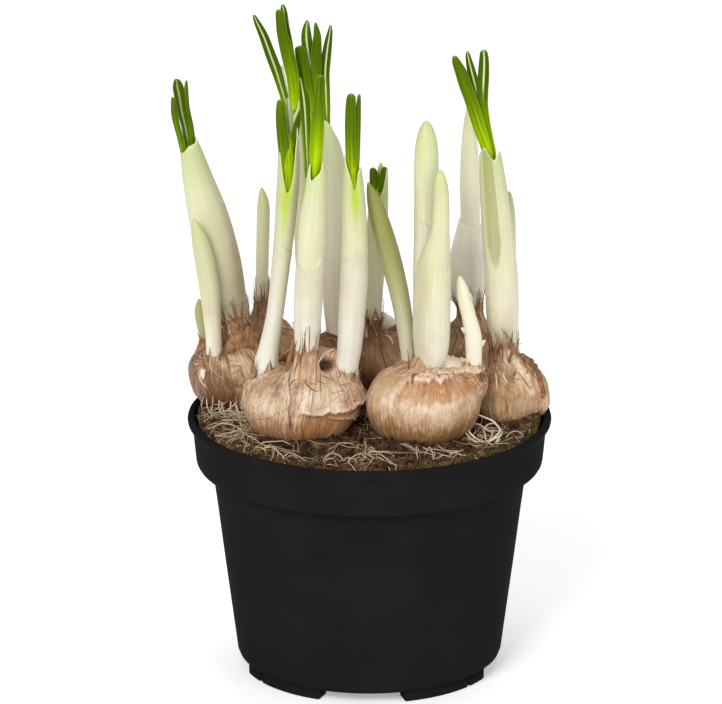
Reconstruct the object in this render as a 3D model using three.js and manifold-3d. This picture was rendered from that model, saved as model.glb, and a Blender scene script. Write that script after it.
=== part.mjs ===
// A pot of crocus corms in early spring: nine corms sit shallow in a round nursery pot,
// their white sheaths are up and the first leaves come out of eight of them.
// Millimetres, +Z up. The pot stands on z = 0 round the Z axis, its front faces -Y.
import * as THREE from 'three';
import { mergeVertices } from 'three/addons/utils/BufferGeometryUtils.js';
import Module from 'manifold-3d';

const wasm = await Module();
wasm.setup();

// Clearance between pieces that touch, and the size of the slivers that are cleaned off
const GAP = 0.3;
const SLIVER = 0.04;

// The pot: outside radii and heights, wall thickness and feet
const POT = {
  sides: 36,
  wall: 1.2,
  height: 86.5,
  lipRadius: 60,
  lipThickness: 3,
  bandTopRadius: 58.6,
  bandFootRadius: 57.2,
  bandFoot: 70,
  bodyTopRadius: 52,
  bodyFootRadius: 43.6,
  floor: 3.2,
  holes: 6,
  holeRadius: 3.5,
  holeCircle: 28,
};

// Each foot is a long and a short arc under the floor's edge, in degrees from the pot's front
const FOOT = {
  inner: 36.5,
  outer: 42.3,
  turn: -3.5,
  arcs: [[19.5, 53.5], [55.5, 67]],
};

// The soil's top: mean height, its rise towards the back and the depth of its lumps
const SOIL = {
  height: 84.6,
  backRise: 0.016,
  leftRise: -0.006,
  lump: 0.45,
  rimRadius: 56.2,
};

// Corms: middle, widest radius, half height, pleats round the tunic and extra bulges
// that are placed from the middle
const CORMS = {
  front_left: { at: [-22, -12, 95], radius: 19.6, half: 12.3, pleats: 7, turn: 0.4 },
  front_right: {
    at: [17.7, -15, 95.3], radius: 19.2, half: 12.3, pleats: 5, turn: 1.9,
    bulges: [{ from: [10.6, 4, 4.7], size: [7.6, 7.6, 7.4] }],
  },
  left: { at: [-45, 15, 96.3], radius: 14.4, half: 11, pleats: 6, turn: 2.6 },
  right: {
    at: [45, 2.5, 94.8], radius: 12.6, half: 10.8, pleats: 5, turn: 0.9, shoulder: 0.2,
    bulges: [{ from: [5.9, 1.5, -1.6], size: [7.4, 8.5, 10.6], lean: -0.5 }],
  },
  back_right: { at: [32.6, 28.4, 97], radius: 13.4, half: 11.5, pleats: 6, turn: 3.1 },
  middle: { at: [7, 20, 96.8], radius: 12.3, half: 12, pleats: 5, turn: 5.2, shoulder: 0.12 },
  behind_left: { at: [-17, 22, 95.5], radius: 10.7, half: 10, pleats: 5, turn: 4.1 },
  back_left: { at: [-33, 37, 96], radius: 9.4, half: 11.2, pleats: 4, turn: 1.2 },
  back: { at: [8, 44, 94.5], radius: 10.2, half: 8.8, pleats: 4, turn: 2.2 },
};

// Shoots: each path point is x, y, z and the sheath's width there, from the foot in the corm up.
// A closed shoot has a tip length, an open one has a mouth and leaves.
// A leaf is its tip, its width, the way that it faces in degrees and how blunt its end is.
const SHOOTS = {
  left_tall: {
    corm: 'left', collar: 7, sides: 12,
    path: [[-43.4, 15.4, 104, 8.6], [-44.8, 16.4, 111.5, 10.8], [-47.4, 17, 121, 13.4],
      [-49.8, 17, 134, 14.4], [-53.1, 16.6, 149.4, 13], [-56.4, 16, 163, 9.8], [-58.8, 15.6, 173.4, 6.9]],
    mouth: { slant: 2.6, towards: 20, pocket: 14 },
    leaves: [
      { tip: [-61.2, 14.4, 196.2], width: 4.2, faces: -100, blunt: 0.5 },
      { tip: [-61.7, 17.6, 190], width: 3.2, faces: 190, blunt: 0.4 },
      { tip: [-58.4, 17.2, 195.8], width: 3.2, faces: -10, blunt: 0.1 },
    ],
  },
  left_slim: {
    corm: 'left', collar: 3, sides: 8,
    path: [[-50.8, 6.9, 100.5, 4.2], [-51.2, 6.2, 107, 4.6], [-51.5, 5.6, 113.4, 5.4],
      [-52.5, 5.2, 127.4, 6.7], [-54.8, 5.4, 141, 6.2], [-57.6, 6, 151.6, 4.8]],
    tipLength: 12,
  },
  left_stub: {
    corm: 'left', collar: 2, sides: 7,
    path: [[-52.4, 20.4, 101, 3.6], [-54.6, 20.6, 108, 4.2], [-55.9, 20.6, 114, 4],
      [-56.4, 20.4, 119.4, 3.2]],
    tipLength: 7,
  },
  back_left: {
    corm: 'back_left', collar: 11, sides: 8,
    path: [[-35.4, 36.2, 103.6, 3.8], [-35.9, 36, 114, 4.2], [-35.4, 36, 136, 4.4],
      [-35.2, 36, 147, 4.2], [-35.8, 36, 153.2, 3]],
    tipLength: 11,
  },
  front_left_a: {
    corm: 'front_left', collar: 3, sides: 10,
    path: [[-34.2, -12, 101.5, 6.4], [-33.5, -12, 109.6, 6.6], [-31, -12, 124.4, 5.4],
      [-28.9, -12, 142, 5.8], [-27.4, -12, 158, 7], [-26.4, -12, 172, 7.4], [-26.3, -12, 186, 6.6]],
    mouth: { notch: 17, notchAt: -92, slant: 2.4, towards: 0, pocket: 26 },
    leaves: [
      { tip: [-29.2, -13.8, 196.6], width: 5.5, faces: -115, blunt: 0.45 },
      { tip: [-29.6, -10.6, 198.4], width: 3.4, faces: 160, blunt: 0.3 },
      { tip: [-26.3, -10.2, 198.8], width: 2.9, faces: 70, blunt: 0.2 },
      { tip: [-23.6, -13.4, 194.4], width: 3.7, faces: -55, blunt: 0.15 },
    ],
  },
  front_left_b: {
    corm: 'front_left', collar: 5, sides: 10,
    path: [[-21.8, -17, 103.4, 5.8], [-21.4, -17.2, 110, 6.6], [-20.7, -17.4, 116.4, 7.8],
      [-20.1, -17.5, 131, 9], [-19, -17.5, 150, 9.2], [-18.2, -17.5, 163, 8.4], [-17.2, -17.5, 176, 6.8]],
    mouth: { notch: 7, notchAt: -120, slant: 4.2, towards: 5, pocket: 18 },
    leaves: [
      { tip: [-16, -18.4, 207.7], width: 5.8, faces: -90, blunt: 0.6 },
      { tip: [-22.2, -17.2, 206.5], width: 3.7, faces: -30, blunt: 0.25 },
    ],
  },
  front_left_c: {
    corm: 'front_left', collar: 3, sides: 10,
    path: [[-8.4, -14, 99.6, 6.8], [-7.6, -14, 107, 7], [-6.5, -14, 115.4, 7.8],
      [-5.2, -14, 136, 8.8], [-4.9, -14, 152, 8.4], [-5.2, -14, 166, 7.4], [-5.5, -14, 178.6, 5.6]],
    mouth: { notch: 10, notchAt: -84, slant: 2.2, towards: 180, pocket: 17 },
    leaves: [
      { tip: [-6.5, -14.6, 200.1], width: 4.8, faces: -100, blunt: 0.6 },
      { tip: [-3.7, -13.6, 200], width: 2.9, faces: -35, blunt: 0.3 },
    ],
  },
  behind_left_a: {
    corm: 'behind_left', collar: 4, sides: 8,
    path: [[-20.2, 21.4, 101.4, 5], [-20.7, 21.2, 110, 5.8], [-21.5, 21, 132.4, 5.9],
      [-22.5, 21, 153.2, 5.9], [-23.8, 21, 170.6, 5.4], [-25, 21, 186, 5]],
    mouth: { slant: 4.4, towards: -20, pocket: 12 },
    leaves: [
      { tip: [-38, 20.6, 216.8], width: 4, faces: 215, blunt: 0.15 },
      { tip: [-29, 20.2, 219.6], width: 6.2, faces: -85, blunt: 0.4 },
      { tip: [-29.4, 22.8, 199], width: 2.4, faces: 120, blunt: 0.6 },
    ],
  },
  behind_left_b: {
    corm: 'behind_left', collar: 3, sides: 10,
    path: [[-10.6, 24, 99.4, 6.4], [-10.8, 24.4, 108, 7.2], [-11.1, 24.6, 118, 8.6],
      [-11.3, 24.8, 136, 9.2], [-11.4, 24.8, 152, 9.2], [-12.2, 24.8, 166, 8], [-14.2, 24.8, 179, 6.4]],
    mouth: { slant: 3.4, towards: 175, pocket: 14 },
    leaves: [
      { tip: [-20.2, 25.2, 214.2], width: 5, faces: -120, blunt: 0.35 },
      { tip: [-17.2, 23, 213.4], width: 3.4, faces: -80, blunt: 0.25 },
      { tip: [-12.9, 24.6, 212.4], width: 4, faces: -30, blunt: 0.15 },
      { tip: [-22.3, 27, 205.3], width: 2.6, faces: 170, blunt: 0.7 },
    ],
  },
  middle: {
    corm: 'middle', collar: 6, sides: 8,
    path: [[1, 20, 103.6, 4.8], [1, 20, 111, 5.4], [1.6, 20, 122, 6], [2.2, 20, 136, 6.6],
      [2.8, 20, 148, 6.8], [3.2, 20, 158.6, 6]],
    mouth: { notch: 4, notchAt: -70, slant: 1.5, towards: 0, pocket: 10 },
    leaves: [
      { tip: [1.5, 19, 165], width: 4, faces: 215, blunt: 0.45 },
      { tip: [4.9, 18.6, 165], width: 3.7, faces: -35, blunt: 0.5 },
      { tip: [3.4, 21.6, 166.6], width: 3.2, faces: 90, blunt: 0.2 },
    ],
  },
  front_right_leaning: {
    corm: 'front_right', collar: 6, sides: 8,
    path: [[13.1, -7.6, 102, 4.6], [12.7, -7.8, 109.4, 5], [11.5, -8, 120, 5.7],
      [9.6, -8, 131, 6.3], [6.8, -8, 142, 7], [4, -8, 153, 6.9], [-0.4, -8, 168.4, 4]],
    tipLength: 15,
  },
  front_right_tall: {
    corm: 'front_right', collar: 3, sides: 10,
    path: [[18, -12.4, 104, 5.2], [18, -12.4, 111, 6], [17.9, -12.4, 123, 6.8],
      [18, -12.4, 138, 7.4], [18.6, -12.4, 152, 8], [18.9, -12.4, 172, 8.3], [18.6, -12.4, 190.6, 6.6]],
    tipLength: 15,
  },
  front_right_slim: {
    corm: 'front_right', collar: 3, sides: 8,
    path: [[20.8, -19.4, 103, 4.4], [21.4, -19.8, 112, 4.8], [22.2, -20, 123, 5.4],
      [23, -20, 145, 5.7], [23.4, -20, 164, 5.4], [23.5, -20, 176.4, 4.2]],
    tipLength: 13,
  },
  back_right: {
    corm: 'back_right', collar: 10, sides: 12,
    path: [[34.2, 28, 104.6, 4.8], [33.6, 28, 111.5, 6], [32.6, 28, 119, 10.2], [32.4, 28, 126, 12],
      [32.6, 28, 134, 10.8], [33.3, 28, 143.6, 8], [33.1, 28, 160, 6.6], [32.8, 28, 185.4, 3.4]],
    tipLength: 16,
  },
  right: {
    corm: 'right', collar: 6, sides: 12, lobes: 0.1, lobesAt: 10,
    path: [[44.2, 0, 101.6, 8], [44.2, 0, 109.6, 8.4], [43.8, 0, 120, 9.8], [43.4, 0, 132, 10.2],
      [42.4, 0, 145, 9.6], [41, 0, 160, 8.6], [39.4, 0, 175.4, 6.6]],
    mouth: { notch: 4, notchAt: -68, slant: 1, towards: 180, pocket: 16 },
    leaves: [
      { tip: [27.5, -0.8, 208.9], width: 4.2, faces: -110, blunt: 0.45 },
      { tip: [31.9, 1.4, 210.5], width: 3.4, faces: -60, blunt: 0.3 },
      { tip: [37.2, 0, 211], width: 4.8, faces: -40, blunt: 0.5 },
    ],
  },
  right_slim: {
    corm: 'right', collar: 4, sides: 7,
    path: [[45.2, 8.6, 100.4, 3.8], [45.6, 8.8, 108, 3.9], [45.9, 8.8, 124, 4],
      [46.3, 8.7, 144, 3.9], [46.6, 8.6, 159.4, 3]],
    tipLength: 10,
  },
};

// Short side growths: the knobby sprout by the front right corm and the blunt stub at the back
const SPROUTS = {
  front_right: {
    corm: 'front_right', collar: 2, sides: 8,
    path: [[33.9, -12.4, 102.4, 4], [33.3, -13, 110, 4.7], [33.5, -13.6, 119, 5.2],
      [32.3, -13.8, 124.6, 4.5], [30.6, -14, 130.4, 4.3], [29.2, -14, 138, 3.2]],
    tipLength: 7,
    knobs: [{ at: [36, -13.6, 114.6], out: [37.8, -14, 116.2], radius: 1.3 },
      { at: [31.4, -14.6, 119.6], out: [29.9, -15.2, 121], radius: 1 },
      { at: [30.4, -14, 131.6], out: [28, -14.2, 132.6], radius: 1.2 }],
  },
  back: {
    corm: 'back', collar: 1.5, sides: 8,
    path: [[9, 43, 98.4, 4.8], [7.8, 42.4, 102, 4.7], [4.9, 42, 107, 3.8]],
    tipLength: 3.5,
    knobs: [],
  },
};

// Roots that lie on the soil: each bunch starts at one point and fans out between two
// directions in degrees
const ROOTS = {
  left: { hub: [-44.2, -9.4], from: 120, to: 262, count: 8, reach: 15, seed: 11 },
  front_left: { hub: [-33.4, -33.6], from: 180, to: 330, count: 5, reach: 12, seed: 5 },
  front: { hub: [-2.6, -34.4], from: 165, to: 375, count: 6, reach: 13, seed: 23 },
  front_right: { hub: [36.6, -24.6], from: 195, to: 390, count: 7, reach: 12, seed: 8 },
  back: { hub: [-6.6, 38.6], from: 20, to: 200, count: 4, reach: 9, seed: 31 },
};

const ROOT_RADIUS = 0.5;
const ROOT_STEP = 3.4;

// Form of a corm's tunic: depth of its pleats and of its wide swells, how far the crown is
// drawn up, how full the base is and how much deeper it is than the top, to sit in the soil
const TUNIC = { pleat: 0.025, swell: 0.02, crown: 0.06, base: 0.18, sunk: 2.6 };

// Wall of an open sheath at its mouth, and the blade of a young leaf
const MOUTH_WALL = 0.8;
const LEAF = { thickness: 0.8, fold: 0.32, steps: 4 };

const FINISHES = {
  pot: { color: 0x1c1c1d, roughness: 0.5 },
  soil: { color: 0x3a281c, roughness: 1 },
  tunic: { color: 0xb98f68, roughness: 0.75 },
  sheath: { color: 0xe6e6c0, roughness: 0.45 },
  leaf: { color: 0x6f9400, roughness: 0.4 },
  root: { color: 0xcdb78a, roughness: 0.7 },
};

const UP = new THREE.Vector3(0, 0, 1);
const BACKWARD = new THREE.Vector3(0, 1, 0);
const radians = THREE.MathUtils.degToRad;

// A repeatable draw between 0 and 1
function drawFrom(seed) {
  let state = seed * 7919 + 17;
  return () => {
    state = (state * 16807) % 2147483647;
    return state / 2147483647;
  };
}

// Closed geometry to solid: positions alone, shared corners merged, slivers dropped,
// and turned right side out
function solidOf(geometry) {
  const bare = geometry.clone();
  bare.deleteAttribute('normal');
  bare.deleteAttribute('uv');
  const merged = mergeVertices(bare, 1e-4);
  const corners = Array.from(merged.index.array);
  const faces = [];
  for (let i = 0; i < corners.length; i += 3) {
    const [a, b, c] = corners.slice(i, i + 3);
    if (a !== b && b !== c && c !== a) faces.push([a, b, c]);
  }
  const build = (order) => new wasm.Manifold(new wasm.Mesh({
    numProp: 3,
    vertProperties: merged.attributes.position.array,
    triVerts: new Uint32Array(order.flat()),
  }));
  const solid = build(faces);
  return solid.volume() < 0 ? build(faces.map(([a, b, c]) => [a, c, b])) : solid;
}

function joined(solids) {
  return solids.reduce((whole, next) => whole.add(next));
}

// The biggest body of a cut solid, without the scraps that the cut leaves
function mainBody(solid) {
  return solid.decompose().sort((a, b) => b.volume() - a.volume())[0];
}

function meshOf(name, solid, finish) {
  const { numProp, vertProperties, triVerts } = solid.simplify(SLIVER).getMesh();
  const positions = new Float32Array((vertProperties.length / numProp) * 3);
  for (let i = 0; i < positions.length / 3; i += 1) {
    for (let k = 0; k < 3; k += 1) positions[3 * i + k] = vertProperties[numProp * i + k];
  }
  const geometry = new THREE.BufferGeometry();
  geometry.setAttribute('position', new THREE.BufferAttribute(positions, 3));
  geometry.setIndex(Array.from(triVerts));
  geometry.computeVertexNormals();
  const material = new THREE.MeshStandardMaterial({ ...finish, metalness: 0 });
  const mesh = new THREE.Mesh(geometry, material);
  mesh.name = name;
  return mesh;
}

// Each corner of a geometry moved by a rule
function reshape(geometry, rule) {
  const place = geometry.attributes.position;
  const corner = new THREE.Vector3();
  for (let i = 0; i < place.count; i += 1) {
    rule(corner.fromBufferAttribute(place, i));
    place.setXYZ(i, corner.x, corner.y, corner.z);
  }
  return geometry;
}

// A profile of [radius, height] points turned round the Z axis
function turned(profile, sides) {
  const points = profile.map(([radius, height]) => new THREE.Vector2(radius, height));
  return new THREE.LatheGeometry(points, sides).rotateX(Math.PI / 2);
}

function potSolid() {
  const { wall, height, lipRadius, lipThickness, floor } = POT;
  const lipMiddle = lipRadius - lipThickness / 2;
  const inside = POT.bandTopRadius - wall - 0.3;
  const profile = [
    [0, floor],
    [POT.bodyFootRadius - 2, floor],
    [POT.bodyFootRadius - 0.5, floor + 0.6],
    [POT.bodyFootRadius, floor + 2],
    [POT.bodyTopRadius, POT.bandFoot - 0.6],
    [POT.bandFootRadius - 0.9, POT.bandFoot - 0.1],
    [POT.bandFootRadius, POT.bandFoot + 0.8],
    [POT.bandTopRadius, height - 3.2],
    [lipRadius - 0.3, height - 2.6],
    [lipRadius, height - 1.4],
    [lipMiddle + 0.6, height],
    [lipMiddle - 0.6, height],
    [lipRadius - lipThickness, height - 1.5],
    [inside, height - 4],
    [POT.bandFootRadius - wall, POT.bandFoot + wall + 0.8],
    [POT.bodyTopRadius - wall, POT.bandFoot + wall - 0.8],
    [POT.bodyFootRadius - wall, floor + 2],
    [POT.bodyFootRadius - 2 - wall, floor + wall],
    [0, floor + wall],
  ];
  let pot = solidOf(turned(profile, POT.sides));
  for (let i = 0; i < POT.holes; i += 1) {
    const angle = (i / POT.holes) * 2 * Math.PI;
    const hole = new THREE.CylinderGeometry(POT.holeRadius, POT.holeRadius, 4 * wall, 8);
    hole.rotateX(Math.PI / 2);
    hole.translate(POT.holeCircle * Math.cos(angle), POT.holeCircle * Math.sin(angle), floor);
    pot = pot.subtract(solidOf(hole));
  }
  return joined([pot, ...footArcs()]);
}

// The feet: the front pair of arcs on both sides, and the same again behind
function footArcs() {
  const arcs = [];
  for (const side of [1, -1]) {
    for (const front of [-90, 90]) {
      for (const [from, to] of FOOT.arcs) {
        const a = radians(front + FOOT.turn + side * from);
        const b = radians(front + FOOT.turn + side * to);
        const [start, end] = a < b ? [a, b] : [b, a];
        const pad = new THREE.Shape();
        pad.absarc(0, 0, FOOT.outer, start, end, false);
        pad.absarc(0, 0, FOOT.inner, end, start, true);
        arcs.push(solidOf(new THREE.ExtrudeGeometry(pad, {
          depth: POT.floor + 0.4, bevelEnabled: false, curveSegments: 3,
        })));
      }
    }
  }
  return arcs;
}

// Height of the soil's top over x, y before the corms are set in
function soilHeight(x, y) {
  const lumps = Math.sin(0.31 * x + 0.8) * Math.cos(0.27 * y - 0.4)
    + 0.6 * Math.sin(0.83 * x - 0.49 * y + 1.1) * Math.cos(0.71 * y + 0.37 * x);
  return SOIL.height + SOIL.backRise * y + SOIL.leftRise * x + SOIL.lump * lumps;
}

function soilSolid(sockets) {
  const { wall, height, floor } = POT;
  const inset = wall + GAP;
  const rings = [51, 43, 34, 23, 11];
  const profile = [
    [0, floor + inset],
    [POT.bodyFootRadius - 2.4 - inset, floor + inset],
    [POT.bodyFootRadius - inset, floor + 3],
    [POT.bodyTopRadius - inset, POT.bandFoot + wall - 0.3],
    [POT.bandFootRadius - inset, POT.bandFoot + wall + 1.3],
    [SOIL.rimRadius, height - 5],
    [SOIL.rimRadius, SOIL.height],
    ...rings.map((radius) => [radius, SOIL.height]),
    [0, SOIL.height],
  ];
  const fill = reshape(turned(profile, POT.sides), (corner) => {
    if (corner.z > SOIL.height - 0.01) corner.z = soilHeight(corner.x, corner.y);
  });
  return mainBody(solidOf(fill).subtract(joined(sockets)));
}

// A corm's tunic: a squashed globe with pleats, a broad base, low shoulders and a drawn-up crown
function cormBody({ at, radius, half, pleats, turn, shoulder = 0, bulges = [] }, grow) {
  const globe = (size, sunk, sides, rings) => reshape(
    new THREE.SphereGeometry(1, sides, rings).rotateX(Math.PI / 2),
    (corner) => {
      const angle = Math.atan2(corner.y, corner.x);
      const pleat = TUNIC.pleat * Math.sin(pleats * angle + turn);
      const fold = 1 + pleat + TUNIC.swell * Math.sin(2 * angle + 1.7 * turn);
      const slope = 1 - shoulder * Math.max(0, corner.z) ** 1.5;
      const crown = 1 + TUNIC.crown * Math.max(0, corner.z) ** 6;
      const base = 1 + TUNIC.base * Math.max(0, -corner.z) ** 3;
      const height = size[2] + (corner.z < 0 ? sunk : 0);
      corner.set(
        corner.x * (size[0] * fold * slope * base + grow),
        corner.y * (size[1] * fold * slope * base + grow),
        corner.z * (height * crown + grow),
      );
    },
  );
  const sides = radius > 15 ? 16 : 12;
  const rings = radius > 15 ? 9 : 8;
  const body = solidOf(globe([radius, radius, half], TUNIC.sunk, sides, rings).translate(...at));
  const lumps = bulges.map(({ from, size, lean = 0 }) => {
    const lump = globe(size, 0, 10, 7).rotateY(lean).translate(...from);
    return solidOf(lump.translate(...at));
  });
  return joined([body, ...lumps]);
}

// A path with its widths: point, frame and width at a place between 0, the foot, and 1, the end
function spineOf(path) {
  const curve = new THREE.CatmullRomCurve3(path.map(([x, y, z]) => new THREE.Vector3(x, y, z)));
  const widths = new THREE.SplineCurve(path.map((point, i) => new THREE.Vector2(i, point[3])));
  const length = curve.getLength();
  const frameAt = (t) => {
    const inside = THREE.MathUtils.clamp(t, 0, 1);
    const along = curve.getTangent(inside);
    const across = BACKWARD.clone().cross(along).normalize();
    const back = along.clone().cross(across);
    const origin = curve.getPoint(inside).addScaledVector(along, (t - inside) * length);
    return { origin, along, across, back };
  };
  const radiusAt = (t) => widths.getPoint(THREE.MathUtils.clamp(t, 0, 1)).y / 2;
  return { length, frameAt, radiusAt };
}

// A straight geometry, its z from 0 to 1, laid along a spine
function bend(geometry, spine) {
  return reshape(geometry, (corner) => {
    const { origin, across, back } = spine.frameAt(corner.z);
    const { x, y } = corner;
    corner.copy(origin).addScaledVector(across, x).addScaledVector(back, y);
  });
}

// Two rounded halves side by side, as on a sheath that splits lengthwise
function lobed(geometry, lobes, towards) {
  return reshape(geometry, (corner) => {
    const angle = Math.atan2(corner.y, corner.x) - radians(towards);
    const scale = 1 + lobes * Math.cos(2 * angle);
    corner.x *= scale;
    corner.y *= scale;
  });
}

// Outline of a closed shoot: it keeps its width up to a rounded, tapering tip
function closedProfile(spine, tipLength, grow, steps) {
  const tipStart = 1 - tipLength / spine.length;
  const profile = [[0, -grow / spine.length]];
  for (let i = 0; i <= steps; i += 1) {
    const t = tipStart * (i / steps) - (i === 0 ? grow / spine.length : 0);
    profile.push([spine.radiusAt(t) + grow, t]);
  }
  for (const part of [0.35, 0.65, 0.88]) {
    const t = tipStart + (1 - tipStart) * part;
    profile.push([spine.radiusAt(t) * Math.sqrt(1 - part ** 2) + grow, t]);
  }
  profile.push([0, 1 + grow / spine.length]);
  return profile;
}

// Outline of an open sheath, with the pocket at its top that a leaf bunch stands in
function openProfile(spine, mouth, steps) {
  const profile = [[0, 0]];
  for (let i = 0; i <= steps; i += 1) {
    const t = i / steps;
    profile.push([spine.radiusAt(t), t]);
  }
  const floorAt = 1 - mouth.pocket / spine.length;
  const innerRadius = (t, extra) => spine.radiusAt(t) - MOUTH_WALL - extra;
  profile.push([innerRadius(1, 0), 1]);
  profile.push([innerRadius((1 + floorAt) / 2, 0.2), (1 + floorAt) / 2]);
  profile.push([innerRadius(floorAt, 0.4), floorAt]);
  profile.push([0, floorAt]);
  return profile;
}

// The mouth's rim runs down into a notch and leans to one side
function cutMouth(geometry, spine, { notch = 0, notchAt = -90, slant, towards, pocket }) {
  const start = 1 - (pocket - 2) / spine.length;
  return reshape(geometry, (corner) => {
    const share = THREE.MathUtils.clamp((corner.z - start) / (1 - start), 0, 1);
    const angle = Math.atan2(corner.y, corner.x);
    const away = angle - radians(notchAt);
    const apart = Math.abs(Math.atan2(Math.sin(away), Math.cos(away)));
    const drop = notch * Math.max(0, 1 - apart / 1.1) - slant * Math.cos(angle - radians(towards));
    corner.z -= (share * drop) / spine.length;
  });
}

function sheathSolid(shoot) {
  const spine = spineOf(shoot.path);
  const steps = shoot.path.length;
  const geometry = shoot.mouth
    ? cutMouth(turned(openProfile(spine, shoot.mouth, steps), shoot.sides), spine, shoot.mouth)
    : turned(closedProfile(spine, shoot.tipLength, 0, steps - 1), shoot.sides);
  if (shoot.lobes) lobed(geometry, shoot.lobes, shoot.lobesAt);
  const sheath = solidOf(bend(geometry, spine));
  return shoot.mouth ? mainBody(sheath.subtract(leafBunch(shoot, GAP))) : sheath;
}

// The room that a shoot takes out of a corm
function sheathRoom(shoot) {
  const spine = spineOf(shoot.path);
  const tip = shoot.tipLength ?? 2;
  const geometry = turned(closedProfile(spine, tip, GAP + 0.05, shoot.path.length), shoot.sides);
  if (shoot.lobes) lobed(geometry, shoot.lobes, shoot.lobesAt);
  return solidOf(bend(geometry, spine));
}

// One young leaf: a keeled blade that folds along its middle, from inside the bunch to its tip
function leafBlade(spine, mouth, leaf, grow) {
  const rootAt = 1 - (mouth.pocket - 3) / spine.length;
  const { origin, along } = spine.frameAt(rootAt);
  const rim = spine.frameAt(1);
  const facing = new THREE.Vector3(Math.cos(radians(leaf.faces)), Math.sin(radians(leaf.faces)), 0);
  const lean = spine.radiusAt(1) * 0.34;
  const tip = new THREE.Vector3(...leaf.tip);
  const rise = tip.distanceTo(rim.origin);
  const path = new THREE.CubicBezierCurve3(
    origin.clone().addScaledVector(facing, lean * 0.6),
    rim.origin.clone().addScaledVector(facing, lean),
    rim.origin.clone().addScaledVector(facing, lean).addScaledVector(along, rise * 0.45),
    tip,
  );
  const blade = new THREE.BoxGeometry(1, 1, 1, 2, 1, LEAF.steps);
  return solidOf(reshape(blade, (corner) => {
    const t = corner.z + 0.5;
    const taper = t < 0.4 ? 0.8 + 0.5 * t : 1 - (1 - leaf.blunt) * ((t - 0.4) / 0.6) ** 2.6;
    const half = Math.max(0.35, (leaf.width / 2) * taper) + grow;
    const tangent = path.getTangent(t);
    const side = tangent.clone().cross(facing).normalize();
    const outward = side.clone().cross(tangent);
    const across = 2 * corner.x * half;
    const deep = corner.y * (LEAF.thickness + 2 * grow) - LEAF.fold * Math.abs(across);
    corner.copy(path.getPoint(t))
      .addScaledVector(side, across)
      .addScaledVector(outward, deep)
      .addScaledVector(tangent, grow * Math.sign(t - 0.5) * (t === 0 || t === 1 ? 1 : 0));
  }));
}

// The leaves of one shoot, joined round a core that fills the sheath's pocket
function leafBunch(shoot, grow) {
  const { mouth, leaves } = shoot;
  const spine = spineOf(shoot.path);
  const floorAt = 1 - (mouth.pocket - GAP + grow) / spine.length;
  const topAt = 1 + 2 / spine.length;
  const radius = (t, extra) => spine.radiusAt(t) - MOUTH_WALL - extra - 0.5 + grow;
  const core = [
    [0, floorAt],
    [radius(floorAt, 0.4), floorAt],
    [radius(1, 0.3), 1],
    [0, topAt + 1.5 / spine.length],
  ];
  const blades = leaves.map((leaf) => leafBlade(spine, mouth, leaf, grow));
  return joined([solidOf(bend(turned(core, 6), spine)), ...blades]);
}

// Torn tunic round a shoot's foot: a low collar whose upper edge stands up in points
function tornCollar(shoot, seed) {
  const draw = drawFrom(seed);
  const spine = spineOf(shoot.path);
  const points = Math.round(3 + spine.radiusAt(0.1) / 2);
  const low = 0.4 / spine.length;
  const edge = (3.2 + shoot.collar * 0.3) / spine.length;
  const radius = spine.radiusAt(edge);
  const collar = turned([
    [0, low],
    [radius + 2.2, low],
    [radius + 1.3, 1],
    [0, edge],
  ], 2 * points);
  const heights = Array.from({ length: points }, () => shoot.collar * (0.55 + 0.45 * draw()));
  reshape(collar, (corner) => {
    if (corner.z < 1) return;
    const side = Math.round((Math.atan2(corner.y, corner.x) / Math.PI + 2.5) * points);
    const up = side % 2 ? 0.4 : heights[(side / 2) % points];
    corner.multiplyScalar(1 + 0.02 * up);
    corner.z = edge + up / spine.length;
  });
  return solidOf(bend(collar, spine));
}

// The sprout's own small knobs
function sproutSolid(sprout) {
  const knobs = sprout.knobs.map(({ at, out, radius }) => {
    const foot = new THREE.Vector3(...at);
    const aim = new THREE.Vector3(...out).sub(foot);
    const length = aim.length() + 1.4;
    const knob = new THREE.ConeGeometry(radius, length, 5).translate(0, length / 2 - 1.4, 0);
    knob.applyQuaternion(new THREE.Quaternion().setFromUnitVectors(BACKWARD, aim.normalize()));
    return solidOf(knob.translate(...at));
  });
  return joined([sheathSolid(sprout), ...knobs]);
}

// Height of a mesh's top over x, y
function topOf(mesh) {
  const ray = new THREE.Raycaster();
  return (x, y) => {
    ray.set(new THREE.Vector3(x, y, 2 * POT.height), UP.clone().negate());
    const hit = ray.intersectObject(mesh)[0];
    return hit ? hit.point.z : SOIL.height;
  };
}

// One root: it wanders over the soil from the hub and tapers to nothing sharper than its radius
function rootSolid(hub, heading, reach, ground, draw) {
  const points = [];
  let [x, y] = hub;
  let angle = heading;
  const steps = Math.max(3, Math.round(reach / ROOT_STEP));
  const turning = (draw() - 0.5) * 0.5;
  for (let i = 0; i <= steps; i += 1) {
    const near = [[0, 0], [0.9, 0], [-0.9, 0], [0, 0.9], [0, -0.9]];
    const top = Math.max(...near.map(([dx, dy]) => ground(x + dx, y + dy)));
    points.push(new THREE.Vector3(x, y, top + ROOT_RADIUS + GAP + 0.15));
    angle += turning + (draw() - 0.5) * 0.5;
    const nextX = x + ROOT_STEP * Math.cos(angle);
    const nextY = y + ROOT_STEP * Math.sin(angle);
    if (Math.hypot(nextX, nextY) > SOIL.rimRadius - 2) break;
    x = nextX;
    y = nextY;
  }
  if (points.length < 3) return null;
  const section = new THREE.Shape();
  section.absarc(0, 0, ROOT_RADIUS, 0, 2 * Math.PI);
  return solidOf(new THREE.ExtrudeGeometry(section, {
    extrudePath: new THREE.CatmullRomCurve3(points),
    steps: points.length - 1,
    curveSegments: 2,
  }));
}

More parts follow.
